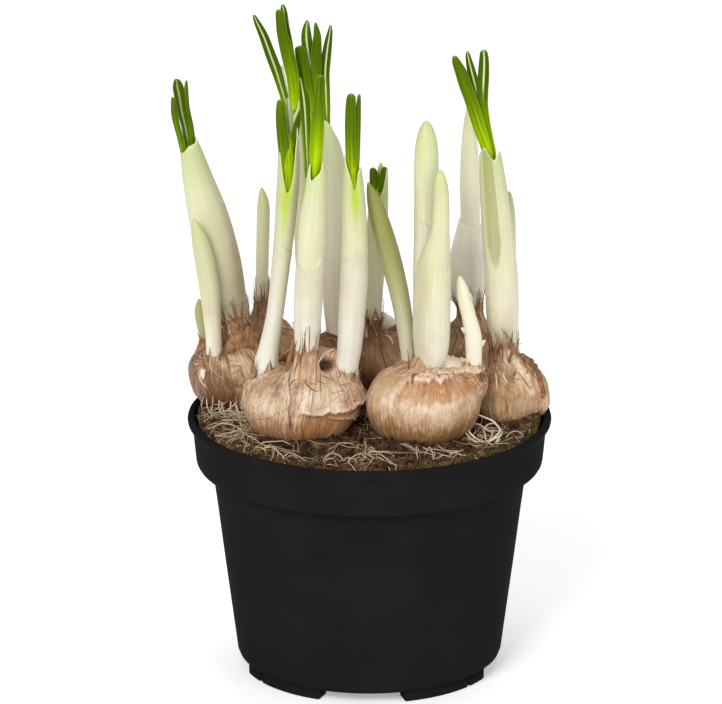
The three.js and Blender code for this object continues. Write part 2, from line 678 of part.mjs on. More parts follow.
function rootBunch({ hub, from, to, count, reach, seed }, ground, sockets) {
  const draw = drawFrom(seed);
  const knot = new THREE.SphereGeometry(1.1, 6, 4);
  knot.translate(hub[0], hub[1], ground(...hub) + 1.1 + GAP + 0.1);
  const solids = [solidOf(knot)];
  for (let i = 0; i < count; i += 1) {
    const heading = radians(from + ((to - from) * (i + 0.6 * draw())) / count);
    const root = rootSolid(hub, heading, reach * (0.65 + 0.7 * draw()), ground, draw);
    if (root) solids.push(root);
  }
  return mainBody(joined(solids).subtract(joined(sockets)));
}

// The room that the pot's lip takes from a corm that leans over it
function lipRoom() {
  const inner = POT.lipRadius - POT.lipThickness - GAP;
  const outer = POT.lipRadius + 2;
  const top = POT.height + GAP;
  const low = POT.height - 8;
  return solidOf(turned([[inner, low], [outer, low], [outer, top], [inner, top], [inner, low]], POT.sides));
}

const pottedCrocus = new THREE.Group();

function place(name, solid, finish) {
  const mesh = meshOf(name, solid, finish);
  pottedCrocus.add(mesh);
  return mesh;
}

place('pot', potSolid(), FINISHES.pot);

const cormSockets = Object.values(CORMS).map((corm) => cormBody(corm, GAP + 0.05));
const soilMesh = place('soil', soilSolid(cormSockets), FINISHES.soil);

const allShoots = [...Object.values(SHOOTS), ...Object.values(SPROUTS)];
const rooms = [...allShoots.map(sheathRoom), lipRoom()];

for (const [index, [name, corm]] of Object.entries(CORMS).entries()) {
  const torn = allShoots.flatMap((shoot, i) => (shoot.corm === name ? tornCollar(shoot, i + 1) : []));
  const others = cormSockets.filter((socket, i) => i !== index);
  const tufts = joined(torn).subtract(joined(others));
  const whole = joined([cormBody(corm, 0), tufts]).subtract(joined(rooms));
  place(`corm_${name}`, mainBody(whole), FINISHES.tunic);
}

for (const [name, shoot] of Object.entries(SHOOTS)) {
  place(`sheath_${name}`, sheathSolid(shoot), FINISHES.sheath);
  if (shoot.leaves) place(`leaves_${name}`, leafBunch(shoot, 0), FINISHES.leaf);
}

for (const [name, sprout] of Object.entries(SPROUTS)) {
  place(`sprout_${name}`, sproutSolid(sprout), FINISHES.sheath);
}

const ground = topOf(soilMesh);
for (const [name, bunch] of Object.entries(ROOTS)) {
  place(`roots_${name}`, rootBunch(bunch, ground, cormSockets), FINISHES.root);
}

export default pottedCrocus;
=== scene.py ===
# Potted crocus: nine corms in a round nursery pot, with their first sheaths and leaves.
# Measures in the dictionaries are millimetres and degrees, colours are as seen on screen.
import math

import bpy
import numpy as np
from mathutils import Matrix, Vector


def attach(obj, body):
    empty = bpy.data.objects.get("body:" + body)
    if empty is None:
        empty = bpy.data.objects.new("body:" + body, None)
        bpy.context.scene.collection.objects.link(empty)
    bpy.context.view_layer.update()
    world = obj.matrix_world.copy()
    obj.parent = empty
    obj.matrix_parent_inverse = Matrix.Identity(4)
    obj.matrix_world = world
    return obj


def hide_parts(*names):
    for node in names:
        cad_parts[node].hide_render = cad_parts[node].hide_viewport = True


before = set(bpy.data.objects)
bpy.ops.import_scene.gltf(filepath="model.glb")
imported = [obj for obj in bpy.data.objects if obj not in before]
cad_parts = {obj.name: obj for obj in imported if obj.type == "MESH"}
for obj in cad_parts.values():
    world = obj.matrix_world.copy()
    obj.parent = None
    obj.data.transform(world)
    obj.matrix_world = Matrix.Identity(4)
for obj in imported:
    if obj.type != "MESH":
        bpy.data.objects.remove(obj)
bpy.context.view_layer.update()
mm = 0.001
fullTurn = 2 * math.pi

print("stage: camera, floor and light")

cameraSetup = {
    "lookAt": (-2.8, 0, 107.6), "distance": 2600, "elevation": 18.3, "pixelsPerMm": 3.04, "pictureWidth": 722,
    "sensor": 36, "seesTo": 60000,
}
lampSetup = {
    "key": {"at": (-700, -1700, 1350), "size": 900, "power": 31},
    "fill": {"at": (1400, -1400, 800), "size": 1200, "power": 8},
    "top": {"at": (100, 500, 1900), "size": 1200, "power": 10},
}
skyStrength = 0.42
paperSheet = {"half": 6000, "tone": 0.9, "roughness": 0.9, "glow": 0.36}


def screenColour(code):
    # screen colour such as "c8a078" to linear light
    parts = [int(code[i:i + 2], 16) / 255 for i in (0, 2, 4)]
    return tuple(v / 12.92 if v <= 0.04045 else ((v + 0.055) / 1.055) ** 2.4 for v in parts) + (1.0,)


def aimed(name, data, place, target):
    # a camera or a lamp, turned to what it looks at
    holder = bpy.data.objects.new(name, data)
    holder.location = place
    holder.rotation_euler = (target - holder.location).to_track_quat("-Z", "Y").to_euler()
    bpy.context.scene.collection.objects.link(holder)
    return holder


def setStage():
    scene = bpy.context.scene
    scene.view_settings.view_transform = "Standard"
    target = Vector(cameraSetup["lookAt"]) * mm
    tilt = math.radians(cameraSetup["elevation"])
    away = cameraSetup["distance"] * mm
    data = bpy.data.cameras.new("camera")
    data.sensor_width = cameraSetup["sensor"]
    data.lens = (cameraSetup["sensor"] * cameraSetup["distance"] * cameraSetup["pixelsPerMm"]
                 / cameraSetup["pictureWidth"])
    data.clip_end = cameraSetup["seesTo"] * mm
    scene.camera = aimed("camera", data, target + Vector((0, -math.cos(tilt), math.sin(tilt))) * away, target)

    for name, lamp in lampSetup.items():
        light = bpy.data.lights.new(name, "AREA")
        light.size = lamp["size"] * mm
        light.energy = lamp["power"]
        aimed(name, light, Vector(lamp["at"]) * mm, target)

    world = bpy.data.worlds.new("studio")
    world.use_nodes = True
    sky = world.node_tree.nodes["Background"]
    sky.inputs["Color"].default_value = (1, 1, 1, 1)
    sky.inputs["Strength"].default_value = skyStrength
    scene.world = world

    half = paperSheet["half"] * mm
    mesh = bpy.data.meshes.new("floor")
    mesh.from_pydata([(-half, -half, 0), (half, -half, 0), (half, half, 0), (-half, half, 0)], [], [(0, 1, 2, 3)])
    floor = bpy.data.objects.new("floor", mesh)
    scene.collection.objects.link(floor)
    paper = bpy.data.materials.new("studioPaper")
    paper.use_nodes = True
    sheet = paper.node_tree.nodes["Principled BSDF"]
    sheet.inputs["Base Color"].default_value = (paperSheet["tone"],) * 3 + (1,)
    sheet.inputs["Roughness"].default_value = paperSheet["roughness"]
    sheet.inputs["Emission Color"].default_value = (1, 1, 1, 1)
    sheet.inputs["Emission Strength"].default_value = paperSheet["glow"]
    mesh.materials.append(paper)


setStage()

print("stage: finishes")


class Finish:
    # one material and the few node kinds that the finishes here are made of
    def __init__(self, name):
        self.material = bpy.data.materials.new(name)
        self.material.use_nodes = True
        self.tree = self.material.node_tree
        self.tree.nodes.clear()
        self.skin = self.node("BsdfPrincipled")
        self.node("OutputMaterial", {"Surface": self.skin.outputs[0]})

    def node(self, kind, inputs=None, **settings):
        made = self.tree.nodes.new("ShaderNode" + kind)
        for key, value in settings.items():
            setattr(made, key, value)
        for key, value in (inputs or {}).items():
            if isinstance(value, bpy.types.NodeSocket):
                self.tree.links.new(value, made.inputs[key])
            else:
                made.inputs[key].default_value = value
        return made

    def fix(self, **values):
        # plain numbers and colours on the shader's own sockets
        for key, value in values.items():
            self.skin.inputs[key.replace("_", " ")].default_value = value

    def drive(self, socket, value):
        self.tree.links.new(value, self.skin.inputs[socket])

    def place(self):
        return self.node("TexCoord").outputs["Object"]

    def grain(self):
        return self.node("Attribute", attribute_name="grain").outputs["Vector"]

    def marks(self):
        # the three numbers that every point of a mesh carries
        marks = self.node("Attribute", attribute_name="marks").outputs["Vector"]
        return self.node("SeparateXYZ", {0: marks}).outputs

    def shade(self):
        return self.node("Attribute", attribute_name="dark").outputs["Fac"]

    def maths(self, kind, a, b=0.0, clamp=False):
        return self.node("Math", {0: a, 1: b}, operation=kind, use_clamp=clamp).outputs[0]

    def add(self, a, b):
        return self.maths("ADD", a, b)

    def times(self, a, b):
        return self.maths("MULTIPLY", a, b)

    def noise(self, vector, scale=1.0, detail=3.0, rough=0.55, twist=0.0):
        inputs = {"Vector": vector, "Scale": scale, "Detail": detail, "Roughness": rough, "Distortion": twist}
        return self.node("TexNoise", inputs).outputs[0]

    def streaks(self, grain, across, along, detail, rough=0.55, twist=0.0):
        # noise that is drawn out along the grain
        drawn = self.node("VectorMath", {0: grain, 1: (across, across, along)}, operation="MULTIPLY")
        return self.noise(drawn.outputs[0], 1.0, detail, rough, twist)

    def ramp(self, value, stops):
        made = self.node("ValToRGB", {0: value})
        band = made.color_ramp.elements
        while len(band) < len(stops):
            band.new(0.5)
        for element, (place, colour) in zip(band, stops):
            element.position = place
            element.color = screenColour(colour)
        return made.outputs["Color"]

    def level(self, value, low, high, lowTo=0.0, highTo=1.0):
        inputs = {0: value, 1: low, 2: high, 3: lowTo, 4: highTo}
        return self.node("MapRange", inputs, clamp=True, interpolation_type="SMOOTHSTEP").outputs[0]

    def mix(self, share, a, b):
        made = self.node("Mix", data_type="RGBA", blend_type="MIX")
        for slot, value in ((0, share), (6, a), (7, b)):
            if isinstance(value, str):
                value = screenColour(value)
            if isinstance(value, bpy.types.NodeSocket):
                self.tree.links.new(value, made.inputs[slot])
            else:
                made.inputs[slot].default_value = value
        return made.outputs[2]

    def coats(self, colour, layers):
        # one colour over another: by which value, from where to where, how strong, and the colour
        for value, low, high, share, tint in layers:
            colour = self.mix(self.level(value, low, high, 0.0, share), colour, tint)
        return colour

    def bump(self, height, strength, distance):
        made = self.node("Bump", {"Height": height, "Strength": strength, "Distance": distance * mm})
        self.drive("Normal", made.outputs[0])


def potPlastic():
    f = Finish("potPlastic")
    place = f.place()
    cloud = f.noise(place, 38, 4)
    fine = f.noise(place, 900, 2)
    dust = f.level(f.noise(place, 160, 5, 0.7), 0.6, 0.74)
    colour = f.ramp(cloud, [(0.3, "19191a"), (0.7, "1e1e1f")])
    f.drive("Base Color", f.mix(f.times(dust, 0.06), colour, "3a342e"))
    f.drive("Roughness", f.level(cloud, 0.3, 0.7, 0.6, 0.68))
    f.fix(Specular_IOR_Level=0.004)
    f.bump(f.add(f.times(fine, 0.35), cloud), 0.35, 0.25)
    return f.material


def peat():
    # marks: moss, and hollow, which is painted shade in the dips of the bed and a darker tone on crumbs and fibres
    f = Finish("peat")
    place = f.place()
    coarse = f.noise(place, 260, 5, 0.65)
    fine = f.noise(place, 1300, 4, 0.7)
    moss, hollow, _ = f.marks()
    colour = f.ramp(coarse, [(0.34, "1a110b"), (0.45, "3f2a1d"), (0.56, "63462f"), (0.68, "9c785a")])
    colour = f.mix(f.times(f.level(fine, 0.57, 0.66), 0.6), colour, "a5845e")
    # hollow darkens the colour: painted shade in the dips of the bed, and darker crumbs and fibres
    colour = f.coats(colour, [(moss, 0, 1, 0.55, "574726"), (hollow, 0, 1, 0.75, "1a110b")])
    f.drive("Base Color", colour)
    f.fix(Roughness=0.95, Specular_IOR_Level=0.2)
    f.bump(f.add(coarse, fine), 0.9, 0.8)
    return f.material


def dryTunic(name, light, pale, mid, deep, warm, flakes, lines):
    # papery coat of a corm: streaks run from its base up to its crown
    # marks: patch, height, and older coat underneath above nought; below nought, pale torn lips, pale spots of the
    # coat and painted highlights
    f = Finish(name)
    grain = f.grain()
    patch, height, under = f.marks()
    hair = f.streaks(grain, 2.3, 0.11, 4, 0.6, 0.3)
    line = f.streaks(grain, 1.6, 0.045, 2, 0.5, 0.2)
    fleck = f.streaks(grain, 2.6, 0.7, 3, 0.65, 0.6)
    flaky = f.streaks(grain, 0.45, 0.24, 7, 0.72, 0.9)
    blot = f.noise(f.place(), 170, 6, 0.7, 0.4)
    ragged = f.add(height, f.times(f.maths("SUBTRACT", f.add(hair, blot), 1.0), 0.5))
    low = f.times(f.level(fleck, 0.5, 0.38), f.level(height, 0.5, 0.2))
    crown = f.mix(f.level(hair, 0.4, 0.6), deep, mid)
    bare = f.ramp(hair, [(0.35, "8c5a33"), (0.5, "b57f4e"), (0.68, "d0a06e")])
    threads = 0.15 + 0.35 * lines
    colour = f.mix(f.level(blot, 0.38, 0.64), mid, pale)
    # warmer towards the bottom: partly the coat's own colour, partly painted shade
    colour = f.coats(colour, [
        (flaky, 0.56, 0.6, flakes, deep), (flaky, 0.44, 0.4, 0.9 * flakes, light),
        (ragged, 0.5, 0.26, 0.85, warm), (ragged, 0.95, 1.12, 0.5, crown),
        (patch, 0, 1, 0.85, "b4713a"), (under, 0, -1, 0.75, light)])
    colour = f.mix(f.times(low, 0.7), colour, deep)
    # the last coat follows the mesh's dark numbers: painted shade in pits and seams, and darker near the soil
    colour = f.coats(colour, [
        (fleck, 0.62, 0.7, 0.5, light), (hair, 0.46, 0.36, threads, deep), (hair, 0.54, 0.66, threads, light),
        (line, 0.38, 0.33, lines, deep), (line, 0.62, 0.7, 0.5 * lines, light),
        (patch, 0, -1, 0.7, "694126"), (under, 0, 1, 0.9, bare), (f.shade(), 0, 1, 0.95, "22120a")])
    f.drive("Base Color", colour)
    f.drive("Roughness", f.level(f.add(hair, flaky), 0.8, 1.2, 0.4, 0.56))
    f.fix(Specular_IOR_Level=0.3, Sheen_Weight=0.05, Sheen_Roughness=0.5)
    f.bump(f.add(hair, f.add(line, flaky)), 0.32, 0.3)
    return f.material


def sheathSkin():
    # marks: rise from foot to tip, greenness, inside of the mouth or thin edge
    f = Finish("sheathSkin")
    grain = f.grain()
    rise, green, edge = f.marks()
    vein = f.streaks(grain, 1.5, 0.035, 3)
    wide = f.streaks(grain, 0.35, 0.03, 2)
    cloud = f.noise(f.place(), 70, 3)
    dark = f.shade()
    # the tan of the patches of painted shade
    shadeTint = f.ramp(cloud, [(0.35, "937c59"), (0.6, "b09b78")])
    colour = f.ramp(rise, [(0.0, "ece7df"), (0.12, "dfd9c8"), (0.48, "d5cfb2"), (0.78, "cfcfab"), (1.0, "c0c88c")])
    colour = f.coats(colour, [(cloud, 0.48, 0.72, 0.35, "c6b294"), (wide, 0.45, 0.65, 0.2, "c9cc88")])
    colour = f.mix(green, colour, "86873f")
    colour = f.coats(colour, [
        (green, 0, -1, 1, "efe8d8"), (vein, 0.55, 0.42, 0.1, "b5b278"), (vein, 0.56, 0.68, 0.14, "f2eedd"),
        (edge, 0, 1, 0.35, "f4f3d8")])
    colour = f.mix(f.maths("MULTIPLY", edge, -0.95, True), colour, "a9c136")
    # painted shade: darker olive deeper inside the mouth and on the leaning shoot's front, tan on the other patches
    colour = f.coats(colour, [(dark, 0, 1, 0.8, "7c7a24"), (dark, 0, -1, 0.85, shadeTint)])
    f.drive("Base Color", colour)
    f.drive("Roughness", f.level(vein, 0.35, 0.65, 0.48, 0.38))
    f.fix(Specular_IOR_Level=0.38, Subsurface_Weight=0.15, Subsurface_Radius=(1.0, 0.85, 0.4),
          Subsurface_Scale=0.0025)
    f.bump(vein, 0.12, 0.2)
    return f.material


def leafGreen():
    # marks: across the blade, rise from mouth to tip, strength of the pale midrib, which also darkens the inner face
    # as painted shade
    f = Finish("leafGreen")
    side, rise, rib = f.marks()
    across = f.maths("ABSOLUTE", side)
    vein = f.streaks(f.grain(), 2.6, 0.04, 4, 0.6)
    # the last stop lightens the tip: a painted highlight
    colour = f.ramp(rise, [(0.0, "a6c400"), (0.25, "82a000"), (0.45, "5f7b00"), (0.65, "4f6900"),
                           (0.82, "4c6300"), (0.94, "526b00"), (1.0, "8ca63c")])
    # darker towards the sides of the rolled blade: painted shade; lighter at its very edges: painted highlight; the
    # rib value darkens the inner face: painted shade
    colour = f.coats(colour, [
        (vein, 0.5, 0.36, 0.6, "324200"), (vein, 0.55, 0.7, 0.35, "9cb41c"),
        (across, 0.25, 0.75, 0.35, "3f5a00"), (across, 0.88, 1, 0.35, "93ad3c"), (rib, 0, 0.3, 0.4, "2f4600")])
    colour = f.mix(f.times(f.level(across, 0.24, 0.1), rib), colour, "c6d79a")
    f.drive("Base Color", f.mix(f.shade(), colour, "dbe3ae"))
    f.drive("Roughness", f.level(vein, 0.35, 0.65, 0.42, 0.32))
    f.fix(Specular_IOR_Level=0.05, Subsurface_Weight=0.05, Subsurface_Radius=(0.6, 1.0, 0.1),
          Subsurface_Scale=0.001)
    f.bump(vein, 0.35, 0.2)
    return f.material


def strandFinish(name, stops, rough):
    # marks: tone of each strand, place from root to tip
    f = Finish(name)
    mottle = f.noise(f.place(), 600, 3)
    tone = f.add(f.marks()[0], f.times(f.maths("SUBTRACT", mottle, 0.5), 0.5))
    f.drive("Base Color", f.ramp(tone, stops))
    f.drive("Roughness", f.level(mottle, 0.3, 0.7, rough, rough + 0.15))
    f.fix(Specular_IOR_Level=0.3)
    f.bump(mottle, 0.4, 0.15)
    return f.material


plasticFinish = potPlastic()
peatFinish = peat()
tunicFinishes = {  # five colours from light to warm, how flaky and how lined
    "tan": dryTunic("tunicTan", "e8d8c6", "d2b796", "b48c67", "83593e", "b07a4b", 0.6, 0.75),
    "chestnut": dryTunic("tunicChestnut", "dfc49e", "a97d52", "7e502d", "4e2d1b", "7d4825", 0.8, 0.9),
    "gold": dryTunic("tunicGold", "efdfcd", "d4b592", "b88f66", "7d522f", "9c6a36", 0.25, 0.26),
    "brown": dryTunic("tunicBrown", "d8bd9e", "bc9872", "97704c", "5a3c2b", "845634", 0.5, 0.7),
    # dark: the brown coat darkened, painted shade for the corms that stand behind the others
    "dark": dryTunic("tunicBrownInShade", "a8825c", "88613c", "6b472a", "3f2818", "7b5231", 0.6, 0.7),
    "straw": dryTunic("tunicStraw", "ecd9bf", "cca67c", "a67c52", "6f472c", "dcb88e", 0.4, 0.6),
}
skinFinish = sheathSkin()
leafFinish = leafGreen()
rootFinish = strandFinish("rootSkin", [(0.0, "7d684a"), (0.35, "b09978"), (0.7, "d3c2a4"), (1.0, "e6dac4")], 0.5)
fibreFinish = strandFinish("tunicFibre", [
    (0.0, "6a2f1b"), (0.12, "5c3822"), (0.35, "8a6040"), (0.65, "b58c64"), (1.0, "e6d2bc")], 0.6)
mossFinish = strandFinish("moss", [(0.0, "2f2a16"), (0.5, "594f28"), (1.0, "8a7e4c")], 0.7)

print("stage: tools for shapes")


def lattice(ix, iy, iz, seed):
    # one repeatable value between -1 and 1 for each whole-numbered place
    n = (ix * 374761393 + iy * 668265263 + iz * 2147483647 + seed * 974634777) & 0xFFFFFFFF
    n = ((n ^ (n >> 13)) * 1274126177) & 0xFFFFFFFF
    n = ((n ^ (n >> 16)) * 2246822519) & 0xFFFFFFFF
    return ((n >> 8) & 0xFFFF) / 32767.5 - 1


def cloudAt(points, scale, seed=0, octaves=1, weaker=0.5):
    # smooth noise over points, about -1 to 1: each octave is half the size, and weaker
    total, whole, weight = np.zeros(len(points)), 0.0, 1.0
    for step in range(octaves):
        p = points * scale * 2 ** step + 17.3 * step
        cell = np.floor(p).astype(np.int64)
        x, y, z = cell.T
        t = p - cell
        t = t * t * (3 - 2 * t)
        value = 0.0
        for dx in (0, 1):
            wx = t[:, 0] if dx else 1 - t[:, 0]
            for dy in (0, 1):
                wy = t[:, 1] if dy else 1 - t[:, 1]
                for dz in (0, 1):
                    wz = t[:, 2] if dz else 1 - t[:, 2]
                    value = value + wx * wy * wz * lattice(x + dx, y + dy, z + dz, seed + step)
        total += weight * value
        whole += weight
        weight *= weaker
    return total / whole


def fade(value, low, high):
    # nought up to low, one from high on, and smooth between
    t = np.clip((np.asarray(value, float) - low) / (high - low), 0, 1)
    return t * t * (3 - 2 * t)


def bell(value, width):
    return np.exp(-(value / width) ** 2)


def apartFrom(points, spot):
    return np.linalg.norm(points - spot, axis=1)


def around(sides):
    return np.arange(sides) / sides * fullTurn


def compass(turn):
    return np.array([math.cos(turn), math.sin(turn)])


def degreesFrom(turn, at):
    # how far round each turn is from a direction in degrees, -180 to 180
    return (np.degrees(turn) - at + 180) % 360 - 180


def unit(v):
    return v / np.maximum(np.linalg.norm(v, axis=-1, keepdims=True), 1e-9)


def gridOf(*layers):
    # rows and columns spread into one grid of vectors
    return np.stack(np.broadcast_arrays(*layers), -1)


class Parts:
    # gathers grids and tubes into one mesh, with the marks that its finish reads
    def __init__(self):
        self.points, self.quads, self.triangles = [], [], []
        self.grain, self.marks, self.dark = [], [], []
        self.count = 0

    def add(self, points, quads=(), triangles=(), grain=None, marks=None, dark=None):
        points = np.asarray(points, float)
        n = len(points)
        self.points.append(points)
        self.grain.append(points if grain is None else np.asarray(grain, float))
        self.marks.append(np.zeros((n, 3)) if marks is None else np.asarray(marks, float))
        self.dark.append(np.zeros(n) if dark is None else np.asarray(dark, float))
        if len(quads):
            self.quads.append(np.asarray(quads) + self.count)
        if len(triangles):
            self.triangles.append(np.asarray(triangles) + self.count)
        self.count += n

    def make(self, name, finish, stands=()):
        points = np.concatenate(self.points) * mm
        quads = np.concatenate(self.quads) if self.quads else np.zeros((0, 4), int)
        triangles = np.concatenate(self.triangles) if self.triangles else np.zeros((0, 3), int)
        corners = np.concatenate([quads.ravel(), triangles.ravel()])
        starts = np.concatenate([np.arange(len(quads)) * 4, len(quads) * 4 + np.arange(len(triangles)) * 3])
        mesh = bpy.data.meshes.new(name)
        mesh.vertices.add(len(points))
        mesh.vertices.foreach_set("co", points.ravel())
        mesh.loops.add(len(corners))
        mesh.loops.foreach_set("vertex_index", corners)
        mesh.polygons.add(len(starts))
        mesh.polygons.foreach_set("loop_start", starts)
        mesh.update(calc_edges=True)
        mesh.validate()
        mesh.shade_smooth()
        for label, values in (("grain", self.grain), ("marks", self.marks)):
            layer = mesh.attributes.new(label, "FLOAT_VECTOR", "POINT")
            layer.data.foreach_set("vector", np.concatenate(values).ravel())
        layer = mesh.attributes.new("dark", "FLOAT", "POINT")
        layer.data.foreach_set("value", np.concatenate(self.dark))
        mesh.materials.append(finish)
        piece = bpy.data.objects.new(name, mesh)
        bpy.context.scene.collection.objects.link(piece)
        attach(piece, "root")
        if stands:
            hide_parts(*stands)


def gridQuads(rows, columns):
    # each row closes into a ring; the faces look along column direction x row direction
    i, j = np.meshgrid(np.arange(rows - 1), np.arange(columns), indexing="ij")
    k = (j + 1) % columns
    upper, lower = i * columns, (i + 1) * columns
    return np.stack([upper + j, upper + k, lower + k, lower + j], -1).reshape(-1, 4)


def fan(centre, ring, turned=False):
    centres, nextOne = np.full(len(ring), centre), np.roll(ring, -1)
    return np.stack((centres, nextOne, ring) if turned else (centres, ring, nextOne), 1)


def closedGrid(rows, sides, turned=False):
    # faces of a grid of rings whose two ends close in the two points that follow it
    count, ring = rows * sides, np.arange(sides)
    quads = gridQuads(rows, sides)
    triangles = np.vstack([fan(count, ring, not turned), fan(count + 1, ring + count - sides, turned)])
    return quads[:, ::-1] if turned else quads, triangles


def smoothPath(points, count):
    # evenly spaced points on a smooth curve through the given ones, and the curve's length
    points = np.array(points, float)
    n = len(points)
    ends = np.vstack([2 * points[0] - points[1], points, 2 * points[-1] - points[-2]])
    u = np.linspace(0, n - 1, 20 * n)
    i = np.minimum(u.astype(int), n - 2)
    f = (u - i)[:, None]
    a, b, c, d = (ends[i + k] for k in range(4))
    fine = 0.5 * (2 * b + (c - a) * f + (2 * a - 5 * b + 4 * c - d) * f ** 2 + (3 * b - a - 3 * c + d) * f ** 3)
    run = np.concatenate([[0], np.cumsum(np.linalg.norm(np.diff(fine[:, :3], axis=0), axis=1))])
    even = np.linspace(0, run[-1], count)
    return np.stack([np.interp(even, run, fine[:, k]) for k in range(points.shape[1])], 1), run[-1]


def onLine(line, place):
    # spots at shares of an evenly spaced line, nought at its start and one at its end
    run = np.linspace(0, 1, len(line))
    return np.stack([np.interp(place, run, line[:, k]) for k in range(line.shape[1])], 1)


def atLevel(path, level, axes):
    # the path's numbers at one height
    return np.array([np.interp(level, path[:, 2], path[:, k]) for k in range(axes)])


def framesAlong(points, reference):
    along = unit(np.gradient(points, axis=0))
    across = unit(np.cross(np.broadcast_to(reference, along.shape), along))
    return along, across, np.cross(along, across)


def addTube(parts, points, widths, thick, reference, sides=5, tone=0.5, toneEnd=None, sameMarks=None):
    # a strand with an oval section; widths and thick run from its root to its tip
    points = np.asarray(points, float)
    n = len(points)
    along, across, back = framesAlong(points, np.asarray(reference, float))
    turn = around(sides)
    w = np.broadcast_to(widths, n)[:, None, None] / 2
    d = np.broadcast_to(thick, n)[:, None, None] / 2
    ring = (points[:, None] + w * across[:, None] * np.cos(turn)[None, :, None]
            + d * back[:, None] * np.sin(turn)[None, :, None])
    ends = points[:1] - along[:1] * d[0, 0], points[-1:] + along[-1:] * w[-1, 0]
    body = np.vstack([ring.reshape(-1, 3), *ends])
    run = np.linspace(0, 1, n)
    shade = tone + ((tone if toneEnd is None else toneEnd) - tone) * run
    marks = np.zeros((len(body), 3))
    marks[:, 0] = np.concatenate([np.repeat(shade, sides), shade[[0, -1]]])
    marks[:, 1] = np.concatenate([np.repeat(run, sides), [0, 1]])
    if sameMarks is not None:
        marks[:] = sameMarks
    parts.add(body, *closedGrid(n, sides), marks=marks)


def addShell(parts, rings, ends, grain, marks, dark):
    # rings with a point at each end, which takes over the marks of the ring beside it
    grain, marks = (np.vstack([v.reshape(-1, 3), v[0, :1], v[-1, :1]]) for v in (grain, marks))
    parts.add(np.vstack([rings.reshape(-1, 3), ends]), *closedGrid(*rings.shape[:2]), grain, marks, dark)


print("stage: pot")

potShape = {
    "sides": 168,  # a multiple of the number of drain holes
    "holes": 6, "holeRadius": 3.5, "holeCircle": 28,
    "profile": [  # radius and height, from the middle of the floor up the outside and down the inside
        (0, 3.2), (24, 3.2), (32, 3.2), (40.6, 3.2), (42.2, 3.5), (43.2, 4.3), (43.8, 5.8), (44.0, 7.5),
        (45.9, 22), (48.0, 38), (50.0, 54), (51.9, 68.2), (52.2, 69.1), (53.0, 69.5), (55.6, 69.75), (56.6, 70.1),
        (57.1, 70.9), (57.3, 72), (57.8, 77), (58.2, 81.5), (58.5, 83.2), (59.3, 83.7), (59.85, 84.3), (60, 85.1),
        (59.8, 85.9), (59.2, 86.4), (58.5, 86.5), (57.8, 86.2), (57.35, 85.4), (57.1, 84), (57.0, 82),
        (56.3, 73.4), (55.9, 72.2), (54.6, 71.4), (51.4, 70.8), (50.8, 69.4), (46.8, 38), (42.8, 7), (41.4, 5),
        (39, 4.4), (32, 4.4), (24, 4.4), (0, 4.4)],
}
padShape = {
    "inner": 36.5, "outer": 42.3, "top": 3.6, "rounding": 0.5, "turn": -3.5, "arcs": [(19.5, 53.5), (55.5, 67)],
    "sections": 26, "lead": 0.012,
}


def makePot():
    parts = Parts()
    profile = np.array(potShape["profile"], float)
    sides, inner = potShape["sides"], profile[1:-1]
    radius, height, turn = inner[:, :1], inner[:, 1:], around(sides)
    ring = gridOf(radius * np.cos(turn), radius * np.sin(turn), height)
    points = np.vstack([ring.reshape(-1, 3), [(0, 0, profile[0, 1])], [(0, 0, profile[-1, 1])]])
    quads, triangles = closedGrid(len(inner), sides)
    holePoints, holeQuads = drainHoles(points, len(inner), len(points))
    parts.add(np.vstack([points, holePoints]), np.vstack([quads[sides:-sides], holeQuads]), triangles)
    for side in (1, -1):
        for front in (-90, 90):
            for arc in padShape["arcs"]:
                start, end = sorted(front + padShape["turn"] + side * angle for angle in arc)
                addPad(parts, math.radians(start), math.radians(end))
    parts.make("pot_shell", plasticFinish, ["pot"])


def drainHoles(points, rows, first):
    # the band of the floor between its two inner rings, with a round hole in each share of it
    sides, holes = potShape["sides"], potShape["holes"]
    share = sides // holes
    ringPoints, quads = [], []
    for k in range(holes):
        middle = potShape["holeCircle"] * compass(k / holes * fullTurn)
        arc = (k * share + np.arange(share + 1) - share // 2) % sides
        loops = [np.concatenate([outer * sides + arc, inner * sides + arc[::-1]])
                 for outer, inner in ((1, 0), (rows - 2, rows - 1))]
        n = len(loops[0])
        edge = middle + potShape["holeRadius"] * unit(points[loops[0], :2] - middle)
        ringPoints += [np.column_stack([edge, points[loop, 2]]) for loop in loops]
        low, high = first + np.arange(n), first + n + np.arange(n)
        first += 2 * n
        for a, b in ((loops[0], low), (low, high), (high, loops[1])):
            quads.append(np.stack([a, b, np.roll(b, -1), np.roll(a, -1)], 1))
    return np.vstack(ringPoints), np.vstack(quads)


def addPad(parts, start, end):
    # an arc under the floor with rounded edges
    low, high, top, r = (padShape[key] for key in ("inner", "outer", "top", "rounding"))
    section = [(low, top), (low, r), (low + 0.3 * r, 0.3 * r), (low + r, 0),
               (high - r, 0), (high - 0.3 * r, 0.3 * r), (high, r), (high, top)]
    lead = padShape["lead"]
    turns = np.concatenate([[start], np.linspace(start + lead, end - lead, padShape["sections"]), [end]])
    points = []
    for k, turn in enumerate(turns):
        lift = r * 0.8 if k in (0, len(turns) - 1) else 0
        points += [(*(radius * compass(turn)), max(height, lift)) for radius, height in section]
    n = len(section)
    cap = np.array([[0, j, j + 1] for j in range(1, n - 1)])
    triangles = np.vstack([cap, cap[:, ::-1] + (len(turns) - 1) * n])
    parts.add(points, gridQuads(len(turns), n)[:, ::-1], triangles)


makePot()

print("stage: corms")
